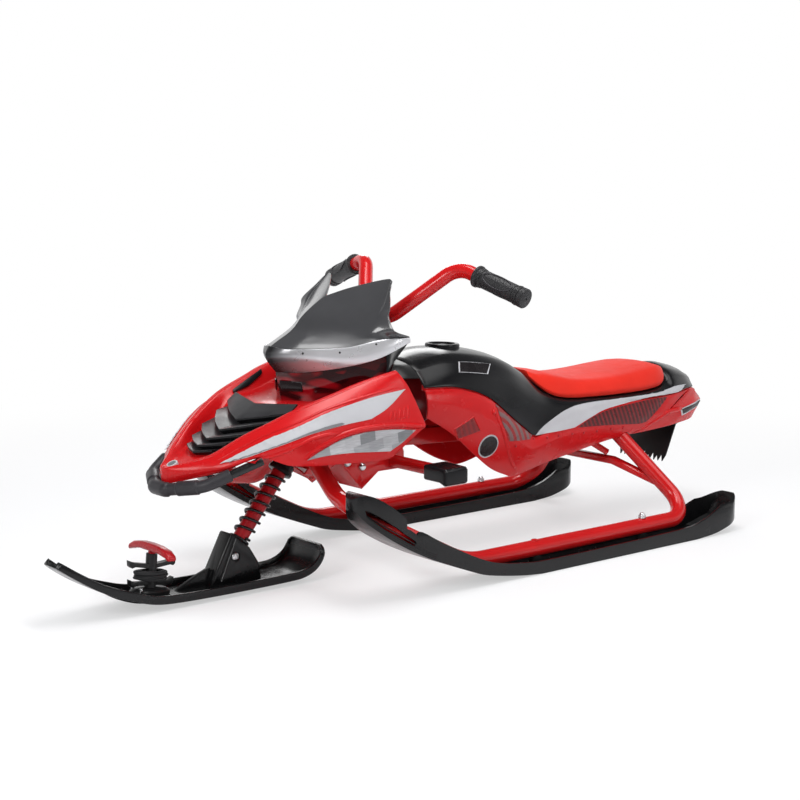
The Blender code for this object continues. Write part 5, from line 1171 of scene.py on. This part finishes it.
def console():
    """Dash between the windshield and the tank."""
    rows = vector_rows("""0 -86 300, 50 -84 300, 70 -82 290; 0 -68 311, 52 -66 307, 73 -64 290;
        0 -42.8 312, 50 -42.8 305, 72 -42.8 288""")
    skin("dash", mirrored_rows(fine_rows(rows, 6, 0.006, (0.001, 0.001))), SHELL, "satin_black", "console")


# Films, ridges and rivets on the shells

def shell_tree(*names):
    """Search tree over the faces of some pieces."""
    corners, faces = [], []
    for name in names:
        mesh = bpy.data.objects[name].data
        faces += [[len(corners) + i for i in face.vertices] for face in mesh.polygons]
        corners += [v.co.copy() for v in mesh.vertices]
    return BVHTree.FromPolygons(corners, faces)


def meet(tree, point, aim, centre=None):
    """Place and outward normal where a line through a point, against an aim, first meets a shell."""
    for share in (0.0, 0.03, 0.08, 0.15, 0.3, 0.5):
        start = point.lerp(centre, share) if centre else point
        place, normal, _, _ = tree.ray_cast(start + aim * 0.6, -aim, 0.6 + abs(point.dot(aim)) + 0.05)
        if place:
            place += (point - start) - aim * (point - start).dot(aim)
            return place, normal if normal.dot(aim) > 0.0 else -normal
    return tree.find_nearest(point + aim * (0.13 - point.dot(aim)))[:2]


def film(name, text, tree, look, height=0.0008, aim=SIDE, cell=0.0045, steps=4):
    """Thin sheet over a shell, and its twin. Each line of its outline starts where the one before ends."""
    aim = Vector(aim).normalized()
    up = (Vector((0.0, 0.0, 1.0)) - aim * aim.z).normalized()
    along = up.cross(aim)
    outline, last = [], []
    for line in table(text):
        line = last + vectors(line)
        outline += spline(line, steps)[:-1]
        last = line[-1:]
    bm = bmesh.new()
    bm.faces.new([bm.verts.new((p.dot(along), p.dot(up), 0.0)) for p in outline])
    bmesh.ops.triangulate(bm, faces=bm.faces)
    for axis in (0, 1):
        low, high = (find(v.co[axis] for v in bm.verts) for find in (min, max))
        count = int((high - low) / cell)
        for k in range(1, count + 1):
            place, normal = Vector(), Vector()
            place[axis], normal[axis] = low + (high - low) * k / (count + 1), 1.0
            bmesh.ops.bisect_plane(bm, geom=bm.verts[:] + bm.edges[:] + bm.faces[:], plane_co=place,
                                   plane_no=normal)
    bmesh.ops.remove_doubles(bm, verts=bm.verts, dist=0.00002)
    centre = sum(outline, Vector()) / len(outline)
    depth = {}
    for vert in bm.verts:
        vert.co = along * vert.co.x + up * vert.co.y
        depth[vert] = meet(tree, vert.co + aim * centre.dot(aim), aim, centre)[0].dot(aim)
    for _ in range(3):
        for vert in bm.verts:
            near = [depth[edge.other_vert(vert)] for edge in vert.link_edges]
            depth[vert] = max(depth[vert], sum(near) / len(near) - 0.0002)
    for vert in bm.verts:
        vert.co += aim * depth[vert]
    bm.normal_update()
    face_way(bm, aim)
    bm.normal_update()
    top = {vert: vert.normal.copy() for vert in bm.verts}
    copy = bmesh.ops.duplicate(bm, geom=bm.verts[:] + bm.edges[:] + bm.faces[:])
    below = copy["vert_map"]
    for edge in [e for e in bm.edges if e.verts[0] in top and len(e.link_faces) == 1]:
        loop = edge.link_loops[0]
        here, there = loop.vert, loop.link_loop_next.vert
        bm.faces.new((there, here, below[here], below[there]))
    for face in [item for item in copy["geom"] if isinstance(item, bmesh.types.BMFace)]:
        face.normal_flip()
    for vert, normal in top.items():
        below[vert].co = vert.co - normal * 0.0006
        vert.co += normal * height
    mesh = bpy.data.meshes.new(name)
    bm.to_mesh(mesh)
    bm.free()
    twin(place_object("left_" + name, mesh, LOOKS[look], sharp=40.0), "right_" + name, sharp=40.0)


def disc_line(place, radius):
    """Round outline about a place in millimetres, in the side view, as two lines."""
    across = SIDE.orthogonal().normalized()
    other = SIDE.cross(across)
    angles = [2 * pi * k / 28 for k in range(29)]
    line = [tuple(Vector(place) + (across * cos(a) + other * sin(a)) * radius) for a in angles]
    return [line[:15], line[15:]]


def ridge(name, text, tree, look, width, height, aim=SIDE, steps=6, taper=True):
    """Raised bead along each line over a shell, and its twin; the ends run out flat."""
    aim = Vector(aim).normalized()
    lines = table(text)
    for number, line in enumerate(lines):
        path = spline(vectors(line), steps)
        middle = sum(path, Vector()) / len(path)
        places = [meet(tree, p, aim, middle) for p in path]
        sections = []
        for k, (place, normal) in enumerate(places):
            ahead, behind = places[min(k + 1, len(places) - 1)][0], places[max(k - 1, 0)][0]
            side = (ahead - behind).normalized().cross(normal).normalized()
            share = k / (len(places) - 1)
            grow = min(1.0, 6.0 * min(share, 1.0 - share) + 0.12) if taper else 1.0
            w, h = width * (0.5 + 0.5 * grow) / 2, height * grow
            rise = [(w, -0.0006), (w, 0.0), (w * 0.72, h * 0.55), (w * 0.35, h * 0.92)]
            flat = [(-s, r) for s, r in rise] + [(0.0, h)] + rise[::-1]
            sections.append([place + side * s + normal * r for s, r in flat])
        label = name if len(lines) == 1 else "%s_%d" % (name, number)
        twin(piece("left_" + label, loft_bm(sections), look, sharp=50.0), "right_" + label, sharp=50.0)


def studs(name, text, tree, look, radius, height, aim=SIDE):
    """Small domes on a shell and their mirror images, as one piece."""
    bm = bmesh.new()
    profile = [(0.0, -0.0008), (radius, -0.0008), (radius, height * 0.25), (radius * 0.8, height * 0.72),
               (radius * 0.4, height), (0.0, height)]
    for point in vector_rows(text)[0]:
        place, normal = meet(tree, point, Vector(aim).normalized())
        merge(bm, lathe_bm(profile, Matrix.Translation(place) @ aimed(normal), 16), True)
    piece(name, bm, look, sharp=50.0)


def cowl_marks():
    """Silver wedge, half-moon, rim, folds and ribs on the cowl, screws on the band and a plain nose badge."""
    tree = shell_tree("nose_cowl")
    film("wedge", """-401 201, -363 223, -333 238, -292 253, -261 264, -220 274, -177 282, -127 287;
        -163 264, -193 251; -240 246, -293 237, -337 223, -370 210, -401 201""", tree, "silver")
    film("wedge_shade", """-392 204, -350 220, -300 238, -262 247, -240 250;
        -240 246.5, -293 237.5, -337 223.5, -370 210.5, -392 204""", tree, "grey_film", 0.0011)
    ridge("wedge_line", "-398 206, -363 227, -333 242, -292 257, -261 268, -220 278, -177 286, -140 290",
          tree, "red_plastic", 0.0040, 0.0012)
    film("half_moon", """-292 201, -270 212, -247 223, -228 229, -195 233, -154 232, -113 227;
        -131 211, -152 199; -219 204, -261 204, -292 201""", tree, "brushed_blocks")
    ridge("moon_rim", "-296 203, -276 216, -252 227, -228 234.5, -195 238.5, -152 238, -112 233, -96 231",
          tree, "red_plastic", 0.0095, 0.0034)
    ridge("lower_fold", "-372 203, -340 211, -312 222, -286 232, -262 236, -245 235", tree, "red_plastic",
          0.0060, 0.0016)
    ribs = [[(y, 246), (y + 1, 252), (y + 3.5, 259 + k)] for k, y in enumerate(range(-160, -120, 8))]
    ridge("fan_rib", ribs, tree, "red_plastic", 0.0040, 0.0013)
    ridge("crest", """9 -446 193, 31 -420 201, 52 -397 211, 71 -359 235, 90 -323 253, 101 -293 267,
        109 -264 277, 115 -232 287, 122 -197 298, 127 -160 307""", tree, "red_plastic", 0.0034,
          0.0010, (0.25, -0.25, 0.93))
    studs("band_screws", "42 -236 338, 74 -194 339, 100 -148 350", shell_tree("screen_band"), "dark_film",
          0.0016, 0.0008, (0.65, -0.75, 0.0))
    place = Matrix.Translation((0.0, -0.4330, 0.1945)) @ Matrix.Rotation(radians(26), 4, "X")
    lathe("nose_badge", "0 -3, 8.2 -3, 8.2 1.2, 7.4 1.9, 6.6 1.6, 0 1.4", place, "silver", steps=40)
    lathe("nose_badge_field", "0 1, 6.2 1, 6 1.8, 0 2.1", place, "grey_film", steps=40)


def body_marks():
    """Films, folds, rivets and plates on the body's sides."""
    panel = shell_tree("left_panel")
    film("swoosh", """188 177, 205 189, 240 205, 262 212, 286 216, 320 217.5, 363 217, 434 216.5, 480 217,
        505 219, 530 222, 562 221; 533 212, 448 212, 391 208, 341 203, 306 193, 271 181; 240 179, 188 177""",
         shell_tree("left_panel", "tank_cover"), "silver", 0.0014)
    film("side_strip", """279 180, 306 191, 341 200, 391 205, 448 208, 480 208, 500 207; 476 190, 445 171;
        425 170, 353 176, 279 180""", panel, "stripe_film")
    film("fan", "94 237, 110 226, 130 211, 147 199, 165 187, 180 178; 172 173; 124 176; 106 206, 94 237",
         panel, "fan_film")
    ridge("bulge_fold", "88 234, 97 214, 110 190, 121 170, 143 138, 160 122", panel, "red_plastic", 0.0060,
          0.0022)
    film("vent", "14 207, 45 222; 52 211; 62 199; 23 191; 14 207", panel, "vent_film", steps=1)
    ridge("vent_edge", "13 207, 46 223; 46 223, 63 199; 63 199, 22 190; 22 190, 13 207", panel, "red_plastic",
          0.0026, 0.0012, steps=4, taper=False)
    film("side_badge", disc_line((86, 84, 172), 18.6), panel, "silver", cell=0.004, steps=1)
    film("side_badge_field", disc_line((86, 84, 172), 16.4), panel, "dark_film", 0.0012, cell=0.004, steps=1)
    studs("panel_knobs", "88 226", panel, "red_plastic", 0.0042, 0.0030)
    studs("panel_rivets", "140 166, 182 173, 211 171, 236 171, 267 171, 294 170, 325 169, 359 168, 388 167",
          panel, "shaded_red", 0.0021, 0.0015)
    ridge("panel_mark", "149 146, 158 146; 149 141, 158 141; 164 147, 192 147; 164 140, 192 140", panel,
          "red_plastic", 0.0022, 0.0010, steps=4)
    cover = shell_tree("tank_cover")
    corners = [Vector(p) for p in ((66, 38, 304), (66, 104, 295), (80, 88, 283), (79, 29, 291))]
    middle = sum(corners, Vector()) / 4
    inner = [p + (middle - p).normalized() * 2.6 for p in corners]
    for name, (a, b, c, d), look, height in (("tank_plate", corners, "silver", 0.0005),
                                             ("tank_plate_field", inner, "dark_film", 0.0009)):
        film(name, [[a, b], [c], [d], [a]], cover, look, height, (0.75, 0.0, 0.66), 0.005, 1)
    tail = shell_tree("tail_shell")
    ridge("tail_fold", "430 158, 460 169, 500 185, 530 197, 552 204", tail, "red_plastic", 0.0085, 0.0030)
    film("tail_plate", "539 182, 607 190; 600 180; 546 169; 539 182", tail, "silver", 0.0006, cell=0.005,
         steps=1)
    film("tail_plate_field", "544 181, 606 188; 597 181; 549 172; 544 181", tail, "dark_film", 0.0010,
         cell=0.005, steps=1)


# Tow rope

CLEAT_FOOT = Vector((0.0, -0.474, 0.0185 - 0.0045 * 0.023 / 0.033))
CLEAT_TILT = radians(5.0)
ROPE_D = 0.0033
WINDING_Z = (0.0208, 0.0352)
WINDING_REACH = (0.0086, 0.0170)
WINDING_OVAL = 1.58


def tow_rope():
    """Braided rope wound between the cleat's horns, in three layers of four turns."""
    place = Matrix.Translation(CLEAT_FOOT) @ Matrix.Rotation(-CLEAT_TILT, 4, "X")
    low, high = WINDING_Z[0] + ROPE_D / 2, WINDING_Z[1] - ROPE_D / 2
    inner = WINDING_REACH[0] + ROPE_D / 2
    step = (WINDING_REACH[1] - ROPE_D / 2 - inner) / 2
    turns, per_turn, move = 4, 40, 13
    count = turns * per_turn
    route = []
    for layer in range(3):
        start, end = (high, low) if layer % 2 else (low, high)
        for k in range(count):
            angle = 2 * pi * k / per_turn
            total = angle + 2 * pi * turns * layer
            share = max(0.0, (k - count + move) / move) if layer < 2 else 0.0
            climb = share * share * (3 - 2 * share)
            reach = inner + step * (layer + climb) + 0.0005 * sin(1.37 * total + layer)
            height = start + (end - start) * k / count + 0.0007 * sin(0.61 * total + 2 * layer)
            route.append(place @ Vector((reach * cos(angle), reach * WINDING_OVAL * sin(angle), height)))
    route.append(place @ Vector((inner + step * 2, 0.0, high)))
    bm = sweep_bm(route, ROPE_D / 2, 10, 0.0004)
    rope = piece("rope_winding", bm, "rope", "tow_rope", "steered_fork", 60.0)


camera()
make_looks()
for row in COPIES:
    refined(*row)
for build in (tow_rope, frame_parts, rear_skis, front_ski, steering_parts, cowl, louvre_insert, windshield,
              lamp_housing, bumper, top_cover, side_panels, tail_piece, seat_cushion, console, cowl_marks,
              body_marks, studio):
    build()
